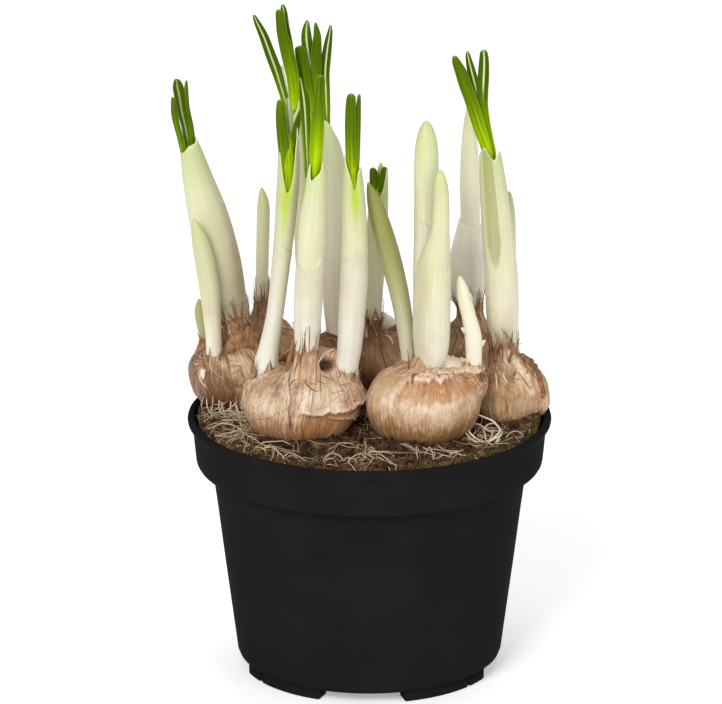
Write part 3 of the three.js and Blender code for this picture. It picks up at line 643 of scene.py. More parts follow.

# crest: the line on its top that the fibres run up to; patches: x, y, z, size and tone, where
# orange is above nought and purple brown below; torn: an outer layer that ends at a ragged edge;
# palesAndHighlights: x, y, z and size of light places, pale spots of the coat and painted light; pits: x, y, z, size
# and depth, painted dark inside as shade; seams: x and two heights, a groove painted dark as shade
corms = {
    "front_left": {"at": (-22.3, -12, 95), "radius": 19.4, "half": 12.3, "pleats": 7, "turn": 0.4, "finish": "tan",
        "crest": ((-31, -12), (-10, -15)), "bulges": [{"from": (7.3, 1.2, 11.2), "size": (7.4, 6.4, 6)}],
        "palesAndHighlights": [(-20, -28.5, 101.5, 4), (-12, -29, 99, 3.5), (-32, -24, 98, 4), (-35, -15, 104, 3),
            (-8, -24, 104, 4.5)],
        "patches": [(-39, -20, 96, 5, -0.3), (-20, -31, 86, 9, 0.25), (-31, -24, 103.5, 6, -0.6),
            (-12, -28, 89, 7, 0.3)],
        "torn": [{"from": -84, "to": 45, "height": 95.8, "ragged": 1.7, "step": 0.75, "deep": 30}],
        "seams": [(-26, 90, 108)], "pits": [(-14.1, -16.4, 109.2, 2.8, 3.6)]},
    "front_right": {"at": (17.3, -15, 95.3), "radius": 18.9, "half": 12.3, "pleats": 5, "turn": 1.9,
        "finish": "gold", "crest": ((12, -9), (24, -16)),
        "bulges": [{"from": (10.6, 4, 4.7), "size": (7.6, 7.6, 7.4)}],
        "palesAndHighlights": [(16, -31.5, 102, 6), (26, -29.5, 102, 6), (6, -28, 101, 4), (29, -19, 107, 4)],
        "patches": [(22.5, -24.5, 106, 6.5, 1.6), (34, -18, 102, 6, -0.35), (5, -28, 90, 7, 0.3),
            (14, -33, 88, 9, 0.2)],
        "torn": [{"from": -115, "to": 10, "height": 105.6, "ragged": 1.2, "step": 0.3, "deep": 3.5}]},
    "left": {"at": (-45.3, 15, 95.8), "radius": 14.8, "half": 11.6, "pleats": 6, "turn": 2.6, "finish": "chestnut",
        "crest": ((-51, 9), (-43, 16)), "palesAndHighlights": [(-43.6, 2.5, 103, 7.5), (-55.1, 5, 99.3, 1.7), (-38, 3, 99, 4)],
        "patches": [(-57, 7, 96, 9, -2.2), (-51, 2, 90, 8, -1.5), (-44, 8, 108, 6, 0.75), (-38, 9, 110, 6, 1),
            (-34, 13, 106, 5, 0.8), (-36, 6, 90, 7, -0.4), (-57, 8, 88, 6, -0.6)]},
    "right": {"at": (45, 2.5, 94.8), "radius": 12.6, "half": 10.8, "pleats": 5, "turn": 0.9, "finish": "straw",
        "shoulder": 0.2, "crest": ((43.4, 0), (45, 6)),
        "bulges": [{"from": (5.9, 1.5, -1.6), "size": (7.4, 8.5, 10.6), "lean": -0.5}],
        "palesAndHighlights": [(45, -8.5, 104.5, 2.2), (48.5, -8.5, 101.5, 2.2), (51.5, -8, 98.5, 2.2), (54, -6.5, 96, 2)],
        "patches": [(45, -9, 98, 7, -0.45), (57, 4, 97, 5, -0.6), (55, -4, 94, 3, 0.7), (40, -7, 104, 5, -0.9),
            (44, -10, 88, 7, 0.2)]},
    "back_right": {"at": (32.6, 28.4, 97), "radius": 13.4, "half": 11.5, "pleats": 6, "turn": 3.1,
        "finish": "brown", "crest": ((33, 27.6), (34, 28.4)), "patches": [(24, 20, 103, 7, -0.7)]},
    "middle": {"at": (7, 20, 96.3), "radius": 12.3, "half": 10.8, "pleats": 5, "turn": 5.2, "finish": "dark",
        "shoulder": 0.12, "crest": ((0.5, 20), (5, 20)), "palesAndHighlights": [(-1, 10, 102, 6), (8, 8.5, 100, 7)]},
    "behind_left": {"at": (-17, 22, 95.5), "radius": 10.7, "half": 10, "pleats": 5, "turn": 4.1, "finish": "dark",
        "crest": ((-20, 21), (-11, 24))},
    "back_left": {"at": (-33, 37, 96), "radius": 9.4, "half": 11.2, "pleats": 4, "turn": 1.2, "finish": "brown",
        "crest": ((-35.6, 36), (-34.6, 36)), "patches": [(-33, 28, 103, 6, 0.4)]},
    "back": {"at": (8, 44, 94.5), "radius": 10.2, "half": 8.8, "pleats": 4, "turn": 2.2, "finish": "dark",
        "crest": ((8, 43.4), (9, 43.4))},
}
cormForm = {
    "pleat": 0.025, "swell": 0.02, "crown": 0.06, "base": 0.18, "sunk": 2.6, "blend": 3.2, "bulgeBlend": 2.0,
    "step": 0.47, "searchFrom": 0.35, "searchPast": 16, "searchSteps": 34, "halvings": 9,
}
coatForm = {"fine": 0.06, "fibres": 0.08, "lumps": 0.3, "flake": 0.28, "seam": 0.35, "pitRim": 0.22}
neckForm = {"below": 1.5, "above": 3.4, "perCollar": 0.55, "gap": 0.35, "spread": 1.9, "spreadPerCollar": 0.12}

# path: x, y, z and width from the foot up; collar: how high torn tunic stands round the foot;
# rim: height of the mouth's edge by the way it faces, where -90 is the front; green: how green the
# sheath is from its foot to its top; bright: how far above the mouth the leaves stay light;
# paintedShade: tan patches of painted shade, olive where the strength is below nought, by direction, height, width,
# length and strength; a sleeve is an outer skin that ends lower
shoots = {
    "left_tall": {"corm": "left", "collar": 12, "bright": 4, "green": (-0.2, 0.0, 0.0, 0.1),
        "path": [(-43.4, 15.4, 104, 8.6), (-44.8, 16.4, 111.5, 10.8), (-47.4, 17, 121, 13.4),
            (-49.8, 17, 134, 14.4), (-53.1, 16.6, 149.4, 13), (-56.6, 16, 163, 9.8), (-59.2, 15.6, 173.4, 6.9)],
        "rim": [(-180, -2.2), (-130, -0.6), (-90, 0.9), (-40, 1.6), (0, 2.9), (50, 1.2), (100, 0.2)], "pocket": 14,
        "paintedShade": [(-8, 142, 42, 17, 0.5), (-28, 124, 52, 13, 0.75), (-75, 113, 60, 8, 0.6)],
        "sleeves": [{"to": 124, "slant": 5, "towards": 150}],
        "leaves": [
            {"faces": 140, "rib": 0.5,
                "path": [(-63.5, 15, 196.8, 1.3), (-63.3, 15.1, 194.4, 3), (-62.5, 15.2, 190.4, 3.3),
                    (-61.9, 15.3, 186.3, 2.9), (-61.1, 15.4, 182.3, 2.5), (-60.3, 15.5, 178.3, 2.5),
                    (-59.6, 15.6, 173.2, 2.3)]},
            {"faces": -105,
                "path": [(-64.4, 13.2, 191.2, 1), (-64.3, 13.4, 188.9, 1.6), (-63.9, 13.7, 184.9, 2.3),
                    (-63.1, 13.9, 180.8, 2.1), (-62.2, 14.2, 176.8, 2), (-61.2, 14.4, 171.8, 1.8)]},
            {"faces": -55,
                "path": [(-59.9, 17, 195.8, 0.5), (-60, 16.9, 193.8, 1.1), (-59.9, 16.7, 189.9, 1.5),
                    (-59.7, 16.6, 185.9, 1.8), (-59.2, 16.5, 182.6, 2.1), (-58.6, 16.3, 179.1, 2.3),
                    (-57.9, 16.2, 173.3, 2.2)]}]},
    "left_slim": {"corm": "left", "collar": 3, "green": (-0.3, 0.1, 0.25, 0.15), "tip": 12, "foot": 0.3,
        "path": [(-50.8, 6.9, 100.5, 4.2), (-51.2, 6.2, 107, 4.6), (-51.5, 5.6, 113.4, 5.4),
            (-52.5, 5.2, 127.4, 6.7), (-54.8, 5.4, 141, 6.2), (-57.6, 6, 151.6, 4.8)]},
    "left_stub": {"corm": "left", "collar": 2, "green": (0.7, 0.75), "tip": 6,
        "path": [(-52.4, 20.4, 101, 3.6), (-54.6, 20.6, 108, 4.2), (-55.9, 20.6, 114, 4),
            (-56.4, 20.4, 119.4, 3.2)]},
    "back_left": {"corm": "back_left", "collar": 11, "neck": 3.4, "green": (-0.5, -0.2, 0.1, 0.3), "tip": 8,
        "path": [(-35.4, 36.2, 103.6, 3.8), (-35.9, 36, 114, 4.2), (-35.4, 36, 136, 4.4), (-35.2, 36, 147, 4.2),
            (-35.8, 36, 153.2, 3)]},
    "front_left_a": {"corm": "front_left", "collar": 3, "bright": -6, "green": (-0.8, -0.1, 0.1, 0.2, 0.2),
        "foot": 0.28,
        "path": [(-34.2, -12, 101.5, 6.4), (-33.5, -12, 109.6, 6.6), (-31, -12, 124.4, 5.4), (-28.9, -12, 142, 5.8),
            (-27.4, -12, 158, 7), (-26.4, -12, 172, 7.4), (-26.3, -12, 186, 6.6)],
        "rim": [(-180, -2.4), (-160, -5), (-134, -10.5), (-110, -17), (-96, -20), (-80, -17.5), (-63, -14),
            (-49, -9), (-37, -3), (-10, 2), (0, 2.7), (60, -2), (120, -4)], "pocket": 26,
        "slit": {"at": -96, "down": 21},
        "sleeves": [{"to": 148.7, "slant": 2.5, "towards": 180, "green": (-0.5, 0, 0.1)}],
        "leaves": [
            {"faces": -100,
                "path": [(-29, -13.8, 198.3, 1.6), (-29, -13.8, 195.3, 2.8), (-28.7, -13.7, 190.8, 3.6),
                    (-28.1, -13.7, 183.9, 3.8), (-27.6, -13.7, 177.5, 3.3), (-27, -13.6, 171.7, 2.1),
                    (-26.7, -13.6, 166.2, 1.3)]},
            {"faces": 95, "rib": 1, "pale": 0.4,
                "path": [(-26.3, -10.2, 198, 0.6), (-26.3, -10.4, 196.5, 1.6), (-26, -10.6, 192.6, 2.2),
                    (-25.7, -10.8, 187.8, 2.1), (-25.6, -11, 181.3, 2), (-25.8, -11.2, 172.7, 1.6)]},
            {"faces": -50,
                "path": [(-22.3, -11.4, 194.3, 0.5), (-22.8, -11.6, 191.9, 1.4), (-23.5, -11.8, 188.5, 2.2),
                    (-24.3, -12, 183, 2.4), (-25.1, -12.2, 177.2, 2.2), (-26, -12.4, 170.6, 1.5),
                    (-26.5, -12.6, 165.5, 1.1)]}]},
    "front_left_b": {"corm": "front_left", "collar": 12, "bright": 20, "green": (-0.7, -0.3, 0.0, 0.03),
        "path": [(-21.8, -17, 103.4, 5.8), (-21.4, -17.2, 110, 6.6), (-20.7, -17.4, 116.4, 7.8),
            (-20.1, -17.5, 131, 9), (-19, -17.5, 150, 9.2), (-18.2, -17.5, 163, 8.4), (-17.2, -17.5, 176, 6.8)],
        "rim": [(-180, -6.5), (-168, -7.2), (-150, -1), (-137, 4.4), (-125, -2.6), (-119, -3.8), (-90, -1.8),
            (-60, 0.2), (-49, 5.4), (-38, 1), (0, 0.5), (60, -2), (120, -4)], "pocket": 18,
        "slit": {"at": -170, "down": 5},
        "sleeves": [{"to": 146, "rim": [(-180, 1.5), (-130, -1), (-90, -4), (-60, -2), (-20, 4), (0, 5), (90, 3)]}],
        "leaves": [
            {"faces": 120, "rib": 1,
                "path": [(-22.5, -16.2, 206.3, 0.5), (-22.1, -16.3, 203.8, 1.6), (-21.4, -16.4, 199, 2.8),
                    (-21, -16.5, 193.5, 3), (-20.7, -16.6, 186.6, 2.6), (-20.4, -16.7, 179.7, 2.2),
                    (-20.2, -16.8, 172.8, 1.8)]},
            {"faces": -88,
                "path": [(-15.7, -19.2, 208.1, 2.7), (-16, -19.1, 204.7, 3.2), (-16.4, -19, 197.8, 3.8),
                    (-16.9, -18.9, 190.1, 4.4), (-17.2, -18.8, 183.8, 4.5), (-17.5, -18.7, 178.6, 4.1),
                    (-17.8, -18.6, 172, 3.3)]}]},
    "front_left_c": {"corm": "front_left", "collar": 3, "bright": 8, "green": (-0.8, -0.5, -0.1, 0.12, 0.1),
        "foot": 0.16,
        "path": [(-8.4, -14, 99.6, 6.8), (-7.6, -14, 107, 7), (-6.5, -14, 115.4, 7.8), (-5.2, -14, 136, 8.8),
            (-4.9, -14, 152, 8.4), (-5.2, -14, 166, 7.4), (-5.5, -14, 178.6, 5.6)],
        "rim": [(-180, 1.8), (-150, -0.5), (-125, -3.5), (-98, -7.3), (-81, -11.4), (-63, -7.3), (-50, -3.7),
            (-20, -3), (0, -3), (60, -5), (120, -4)], "pocket": 17, "slit": {"at": -81, "down": 19},
        "sleeves": [{"to": 146.6, "slant": 3, "towards": -20}],
        "leaves": [
            {"faces": -97,
                "path": [(-5.8, -15.2, 200.7, 2.3), (-6.1, -15.2, 197.9, 3.2), (-6.3, -15.2, 191.3, 3.5),
                    (-6.2, -15.2, 183.3, 3.6), (-6, -15.2, 177.4, 3.3), (-5.4, -15.2, 170.9, 2.3)]},
            {"faces": -62,
                "path": [(-3.3, -13.6, 200.1, 0.7), (-3.4, -13.6, 197.7, 1.3), (-3.7, -13.7, 192.5, 1.9),
                    (-4, -13.7, 183.9, 2.3), (-4.2, -13.8, 177, 2.1), (-4.5, -13.8, 170.4, 1.6)]}]},
    "behind_left_a": {"corm": "behind_left", "collar": 4, "bright": 16, "green": (0.15, 0.25),
        "path": [(-20.2, 21.4, 101.4, 5), (-20.7, 21.2, 110, 5.8), (-21.5, 21, 132.4, 5.9), (-22.5, 21, 153.2, 5.9),
            (-23.8, 21, 170.6, 5.4), (-25, 21, 186, 5)],
        "rim": [(-180, -5), (-90, -3), (-40, 1), (0, 4.6), (40, 1), (90, -2)], "pocket": 12,
        "leaves": [
            {"faces": 130, "rib": 1,
                "path": [(-38, 21.6, 216.7, 0.7), (-37.2, 21.5, 214.5, 1.6), (-34.9, 21.4, 209.4, 2.6),
                    (-32.7, 21.3, 203.1, 3), (-31, 21.3, 198.2, 3), (-29.4, 21.2, 192.8, 2.5),
                    (-27.7, 21.1, 186.9, 2.2), (-26.5, 21, 182.5, 2)]},
            {"faces": -100,
                "path": [(-29.6, 19.4, 219.2, 2.2), (-29.4, 19.5, 217, 2.8), (-28.8, 19.5, 211.4, 3.4),
                    (-27.4, 19.6, 205.8, 4.3), (-26.1, 19.6, 200.2, 4.5), (-25.2, 19.7, 195, 4.1),
                    (-24.8, 19.7, 190.1, 3.6), (-25, 19.8, 184.2, 3)]},
            {"faces": 60, "rib": 1,
                "path": [(-28.4, 21.4, 220.4, 1), (-27.9, 21.4, 218, 2.1), (-27.2, 21.3, 212.8, 2.4),
                    (-26.3, 21.3, 207.3, 2.6), (-25.5, 21.2, 201.1, 2.6), (-24.8, 21.2, 191.4, 2.3)]},
            {"faces": 100, "rib": 0.6, "pale": 0.9,
                "path": [(-29, 22.6, 199.2, 1.2), (-28.7, 22.5, 196.5, 1.5), (-27.7, 22.3, 191.7, 1.6),
                    (-26.6, 22.2, 186.6, 1.6), (-26.2, 22, 181, 1.5)]}]},
    # its whiter colour is partly painted light, as it stands in the shade of the shoots in front
    "behind_left_b": {"corm": "behind_left", "collar": 3, "bright": 14, "green": (-0.7, -0.7, -0.4, -0.1),
        "path": [(-10.6, 24, 99.4, 6.4), (-10.8, 24.4, 108, 7.2), (-11.1, 24.6, 118, 8.6), (-11.3, 24.8, 136, 9.2),
            (-11.4, 24.8, 152, 9.2), (-12.2, 24.8, 166, 8), (-14.2, 24.8, 179, 6.4)],
        "rim": [(-180, -1), (-150, 0), (-100, 2), (-80, 1), (-40, -4), (0, -8), (40, -6), (90, -2)], "pocket": 14,
        "paintedShade": [(-100, 124, 60, 14, 0.4)],
        "leaves": [
            {"faces": 100, "rib": 1,
                "path": [(-20.2, 25.6, 213.7, 0.8), (-20.6, 25.5, 212.5, 1.8), (-20.8, 25.5, 209.4, 3.2),
                    (-20.6, 25.4, 205.9, 3.6), (-19.8, 25.4, 200.4, 3.6), (-18.7, 25.3, 193.5, 3.3),
                    (-17.6, 25.3, 186.6, 3), (-16.3, 25.2, 177.9, 2.3)]},
            {"faces": -100,
                "path": [(-23.3, 22.8, 205.8, 2.6), (-22.8, 23, 204, 3.6), (-22, 23.1, 199.1, 3.8),
                    (-21, 23.3, 192.8, 3.7), (-20, 23.4, 185.8, 3.5), (-18.3, 23.6, 176.7, 3)]},
            {"faces": -80,
                "path": [(-17.7, 23.8, 213.5, 0.7), (-17.5, 23.9, 211.7, 1.5), (-17.1, 23.9, 208.9, 2.5),
                    (-17.3, 24, 204.3, 3.4), (-17.4, 24, 198.8, 3.6), (-17.3, 24.1, 192.5, 3.6),
                    (-16.6, 24.1, 185.2, 3.3), (-15.6, 24.2, 176.5, 2.6)]},
            {"faces": 60, "rib": 1,
                "path": [(-12.7, 25.8, 212.1, 0.6), (-12.8, 25.7, 210, 1.5), (-13.4, 25.7, 205.9, 2.5),
                    (-14, 25.6, 201, 3), (-14.4, 25.6, 195.5, 3), (-14.2, 25.5, 190, 2.8), (-14, 25.5, 183.8, 2.5),
                    (-13.8, 25.4, 176.1, 2)]}]},
    "middle": {"corm": "middle", "collar": 9, "bright": -4, "green": (0.1, 0.15, 0.35),
        "path": [(1, 20, 103.6, 4.8), (1, 20, 111, 5.4), (1.6, 20, 122, 6), (2.2, 20, 136, 6.6),
            (2.8, 20, 148, 6.8), (3.2, 20, 158.6, 6)],
        "rim": [(-180, 0), (-140, -2), (-90, -4), (-60, 0), (-20, 7.5), (10, 3), (90, 1)], "pocket": 10,
        "leaves": [
            {"faces": -110,
                "path": [(1.2, 19.2, 165.2, 1.5), (1.2, 19.3, 163.6, 2.5), (1.5, 19.5, 159.4, 3.2),
                    (1.9, 19.6, 153.8, 3)]},
            {"faces": -65,
                "path": [(5, 18.4, 165.7, 1.3), (4.8, 18.6, 163.8, 2.2), (4.6, 18.8, 159.6, 2.8),
                    (4.2, 19, 154, 3.1), (4.1, 19.2, 147, 2.6)]},
            {"faces": 90, "rib": 0.6, "pale": 0.9,
                "path": [(3.7, 21.6, 166.4, 0.5), (3.7, 21.5, 164.6, 1.8), (3.6, 21.3, 161.6, 2.2),
                    (3.5, 21.2, 156.7, 2), (3.4, 21, 150, 1.8)]}]},
    "front_right_leaning": {"corm": "front_right", "collar": 0, "neck": 0.7, "green": (0.05, 0.48, 0.82, 0.97),
        "tip": 9,
        "path": [(13.1, -7.6, 102, 4.6), (12.7, -7.8, 109.4, 5), (11.5, -8, 120, 5.7), (9.6, -8, 131, 6.3),
            (6.9, -8, 142, 6.9), (4, -8, 153, 6.4), (1.6, -8, 161.4, 4.9), (-0.5, -8, 168.4, 3.2)],
        "paintedShade": [(-90, 150, 90, 20, -0.45)]},
    "front_right_tall": {"corm": "front_right", "collar": 0, "neck": 0.6, "green": (-0.2, 0, 0.0, 0.05), "tip": 11,
        "path": [(18, -12.4, 104, 5.2), (18, -12.4, 111, 6), (17.9, -12.4, 123, 6.8), (18, -12.4, 138, 7.4),
            (18.5, -12.4, 152, 8), (18.4, -12.4, 172, 8.2), (18.4, -12.4, 190.6, 7.2)],
        "sleeves": [{"to": 157.4, "slant": 6.2, "towards": 175, "green": (-0.2, 0, 0)}]},
    "front_right_slim": {"corm": "front_right", "collar": 3, "neck": 1.2, "green": (0.06, 0.08, 0.05, 0.03),
        "tip": 9, "lobes": 0.24, "lobesAt": -59, "lobesTo": 152,
        "path": [(18.9, -15.2, 103, 8.2), (19.2, -15.3, 108.5, 9.4), (19.9, -15.5, 114, 11.6),
            (20.1, -15.6, 120, 12.4), (20.3, -15.8, 132, 12.4), (20.9, -16.7, 142, 11.4), (21.9, -18.3, 149, 8.8),
            (22.8, -19.7, 155, 6.2), (23.1, -20, 164, 5.4), (22.9, -20, 176.4, 4.8)]},
    # its whiter colour is partly painted light, as it stands in the shade behind the others
    "back_right": {"corm": "back_right", "collar": 12, "neck": 3.4, "green": (-0.6, -0.7, -0.6, -0.1), "tip": 16,
        "path": [(34.2, 28, 104.6, 4.8), (33.6, 28, 111.5, 6), (32.6, 28, 119, 10.2), (32.4, 28, 126, 12),
            (32.6, 28, 134, 10.8), (33.3, 28, 143.6, 6.9), (33.1, 28, 160, 6.6), (32.8, 28, 185.4, 3.4)],
        "sleeves": [
            {"to": 143.6,
                "path": [(34.2, 28, 104.6, 4.9), (33.6, 28, 111.5, 6.2), (32.6, 28, 119, 10.4),
                    (32.4, 28, 126, 12.2), (32.6, 28, 134, 11), (33.3, 28, 143.6, 7.7)], "slant": 1, "towards": 150,
                "green": (-0.6, -0.7, -0.7)}]},
    "right": {"corm": "right", "collar": 9, "bright": 20, "green": (0.0, 0.0, 0.05, 0.1), "lobes": 0.1,
        "lobesAt": 10,
        "path": [(44.2, 0, 101.6, 8), (44.2, 0, 109.6, 8.4), (43.8, 0, 120, 9.8), (43.4, 0, 132, 10.2),
            (42.4, 0, 145, 9.6), (41, 0, 160, 8.6), (39.4, 0, 175.4, 6.6)],
        "rim": [(-180, -0.5), (-130, 4), (-100, 1), (-65, -1.8), (-40, 1), (-15, 1.4), (30, -2), (90, -3),
            (140, -3)], "pocket": 16, "strip": {"at": -112, "width": 31, "from": 137, "green": 0.55},
        "paintedShade": [(-105, 112, 60, 9, 0.55), (-60, 120, 30, 12, 0.3)],
        "leaves": [
            {"faces": -100,
                "path": [(27.4, -1.6, 209.5, 1.2), (28.1, -1.6, 207.2, 2.8), (29.7, -1.5, 203.4, 3.9),
                    (31.2, -1.5, 198.9, 4.2), (32.9, -1.5, 194.3, 4.3), (35.7, -1.5, 185.3, 4.3),
                    (38, -1.4, 178, 3.6), (39.1, -1.4, 171.8, 2.6)]},
            {"faces": 70, "rib": 1, "stripeFrom": 0.5,
                "path": [(31.8, 1.6, 210.1, 0.9), (32.2, 1.5, 208, 1.8), (33.1, 1.3, 204.2, 2.7),
                    (34.2, 1.2, 199.7, 3), (35.4, 1.1, 194.6, 2.8), (37, 0.9, 187.7, 2.6),
                    (38.7, 0.8, 179.1, 2.3)]},
            {"faces": 62, "rib": 1, "stripeFrom": 0.6,
                "path": [(37.1, 0.2, 211, 2.1), (37.4, 0.2, 208.1, 3), (37.3, 0.2, 202.5, 3.6),
                    (37.1, 0.1, 197.3, 3.4), (37.3, 0.1, 192.1, 2.9), (38.2, 0.1, 186.3, 2.6),
                    (39.4, 0, 180.7, 2.3), (40.4, 0, 176.2, 1.8), (40.5, 0, 170.7, 1.5)]}]},
    "right_slim": {"corm": "right", "collar": 4, "green": (0.0, 0.1), "tip": 10,
        "path": [(45.2, 8.6, 100.4, 3.8), (45.6, 8.8, 108, 3.9), (45.9, 8.8, 124, 4), (46.2, 8.7, 144, 3.9),
            (45.9, 8.6, 160.3, 3.4)]},
}

# short side growths, with small knobs on the first
sprouts = {
    "front_right": {"corm": "front_right", "collar": 2, "green": (-0.7, -0.5), "tip": 7,
        "path": [(34.6, -12.4, 102.4, 4.6), (34.2, -13, 110, 5.2), (33.9, -13.6, 117, 5.6), (32.5, -13.8, 124, 4.8),
            (30.9, -14, 130.4, 4.6), (29.2, -14, 138.4, 3.9)],
        "knobs": [((36, -13.6, 114.6), (37.8, -14, 116.2), 1.3), ((31.4, -14.6, 119.6), (29.9, -15.2, 121), 1.0),
            ((30.4, -14, 131.6), (28, -14.2, 132.6), 1.2)]},
    # its whiter colour is partly its own cream and partly painted light, as it stands in shade
    "back": {"corm": "back", "collar": 1.5, "green": (-1, -1), "tip": 5,
        "path": [(9.4, 42, 97, 6), (8.2, 41.6, 101, 6.6), (5.6, 41.2, 105, 5), (3.6, 41, 108.4, 3)]},
}
growths = list(shoots.values()) + list(sprouts.values())


def bodyDistance(p, at, size, corm, sunk):
    # how far points lie outside a pleated, squashed globe, roughly in mm
    q = p - at
    pleats, turn, shoulder = corm["pleats"], corm["turn"], corm.get("shoulder", 0)
    angle = np.arctan2(q[:, 1], q[:, 0])
    fold = 1 + cormForm["pleat"] * np.sin(pleats * angle + turn) + cormForm["swell"] * np.sin(2 * angle + 1.7 * turn)
    half = np.where(q[:, 2] > 0, size[2] * (1 + 0.5 * cormForm["crown"]), size[2] + sunk)
    level = np.clip(q[:, 2] / half, -1, 1)
    wide = fold * (1 - shoulder * np.maximum(0, level) ** 1.5) * (1 + cormForm["base"] * np.maximum(0, -level) ** 3)
    out = np.sqrt((q[:, 0] / (size[0] * wide)) ** 2 + (q[:, 1] / (size[1] * wide)) ** 2 + (q[:, 2] / half) ** 2)
    return (out - 1) * min(size)


def neckOf(shoot):
    # the tunic round a shoot's foot: its two heights and how far it spreads
    foot, collar = shoot["path"][0][2], shoot["collar"]
    spread = shoot.get("neck", neckForm["spread"]) + neckForm["spreadPerCollar"] * collar
    return foot - neckForm["below"], foot + neckForm["above"] + neckForm["perCollar"] * collar, spread


def neckDistance(p, shoot):
    path = np.array(shoot["path"], float)
    lowest, highest, spread = neckOf(shoot)
    low, high = atLevel(path, lowest, 3), atLevel(path, highest, 3)
    low[2] = lowest
    axis = high - low
    along = np.clip((p - low) @ axis / (axis @ axis), 0, 1)
    width = np.interp(low[2] + along * axis[2], path[:, 2], path[:, 3]) / 2
    radius = width + neckForm["gap"] + spread * (1 - along) ** 1.3
    return np.linalg.norm(p - low - along[:, None] * axis, axis=1) - radius


def softMin(a, b, k):
    h = np.clip(0.5 + 0.5 * (b - a) / k, 0, 1)
    return b * (1 - h) + a * h - k * h * (1 - h)


def cormField(p, corm, here):
    at = np.array(corm["at"], float)
    d = bodyDistance(p, at, (corm["radius"], corm["radius"], corm["half"]), corm, cormForm["sunk"])
    for bulge in corm.get("bulges", []):
        lean = -bulge.get("lean", 0)
        cos, sin = math.cos(lean), math.sin(lean)
        centre = at + bulge["from"]
        q = p - centre
        turned = np.stack([q[:, 0] * cos + q[:, 2] * sin, q[:, 1], q[:, 2] * cos - q[:, 0] * sin], 1)
        d = softMin(d, bodyDistance(turned + centre, centre, bulge["size"], corm, 0), cormForm["bulgeBlend"])
    for shoot in here:
        d = softMin(d, neckDistance(p, shoot), cormForm["blend"])
    return d


def fibreTurn(p, corm):
    # which fibre a point lies on: fibres run up to the crest, spread along it and meet it squarely
    a, b = (np.array(v, float) for v in corm["crest"])
    at = np.array(corm["at"], float)
    up = fade(p[:, 2], at[2] - 6, at[2] + corm["half"])
    middle = at[None, :2] * (1 - up[:, None]) + ((a + b) / 2)[None] * up[:, None]
    reach = np.maximum(0.4, np.linalg.norm(b - a) / 2) * (0.25 + 0.75 * up)
    direction = math.atan2(*(b - a)[::-1])
    w = ((p[:, 0] - middle[:, 0]) + 1j * (p[:, 1] - middle[:, 1])) * np.exp(-1j * direction) / reach
    return np.arccosh(w).imag + direction


def gridNormals(points):
    down = np.gradient(points, axis=0)
    sideways = (np.roll(points, -1, 1) - np.roll(points, 1, 1)) / 2
    return unit(np.cross(sideways, down))


def cormSurface(corm, here):
    # where straight ways out from the corm's centre leave it, and the normals there
    rows = int(math.pi * corm["radius"] / cormForm["step"])
    columns = 2 * rows
    at = np.array(corm["at"], float)
    tilt = ((np.arange(rows) + 0.5) / rows * math.pi)[:, None]
    turn = around(columns)
    ways = gridOf(np.sin(tilt) * np.cos(turn), np.sin(tilt) * np.sin(turn), np.cos(tilt)).reshape(-1, 3)
    steps = np.linspace(cormForm["searchFrom"] * corm["half"], corm["radius"] + cormForm["searchPast"],
                        cormForm["searchSteps"])
    last = np.full(len(ways), steps[0])
    for reach in steps[1:]:
        last[cormField(at + ways * reach, corm, here) < 0] = reach
    low, high = last, last + (steps[1] - steps[0])
    for _ in range(cormForm["halvings"]):
        mid = (low + high) / 2
        inside = cormField(at + ways * mid[:, None], corm, here) < 0
        low, high = np.where(inside, mid, low), np.where(inside, high, mid)
    points = at + ways * low[:, None]
    normal = gridNormals(points.reshape(rows, columns, 3)).reshape(-1, 3)
    if np.mean(np.sum(normal * ways, 1)) < 0:
        normal = -normal
    return points, normal, rows, columns


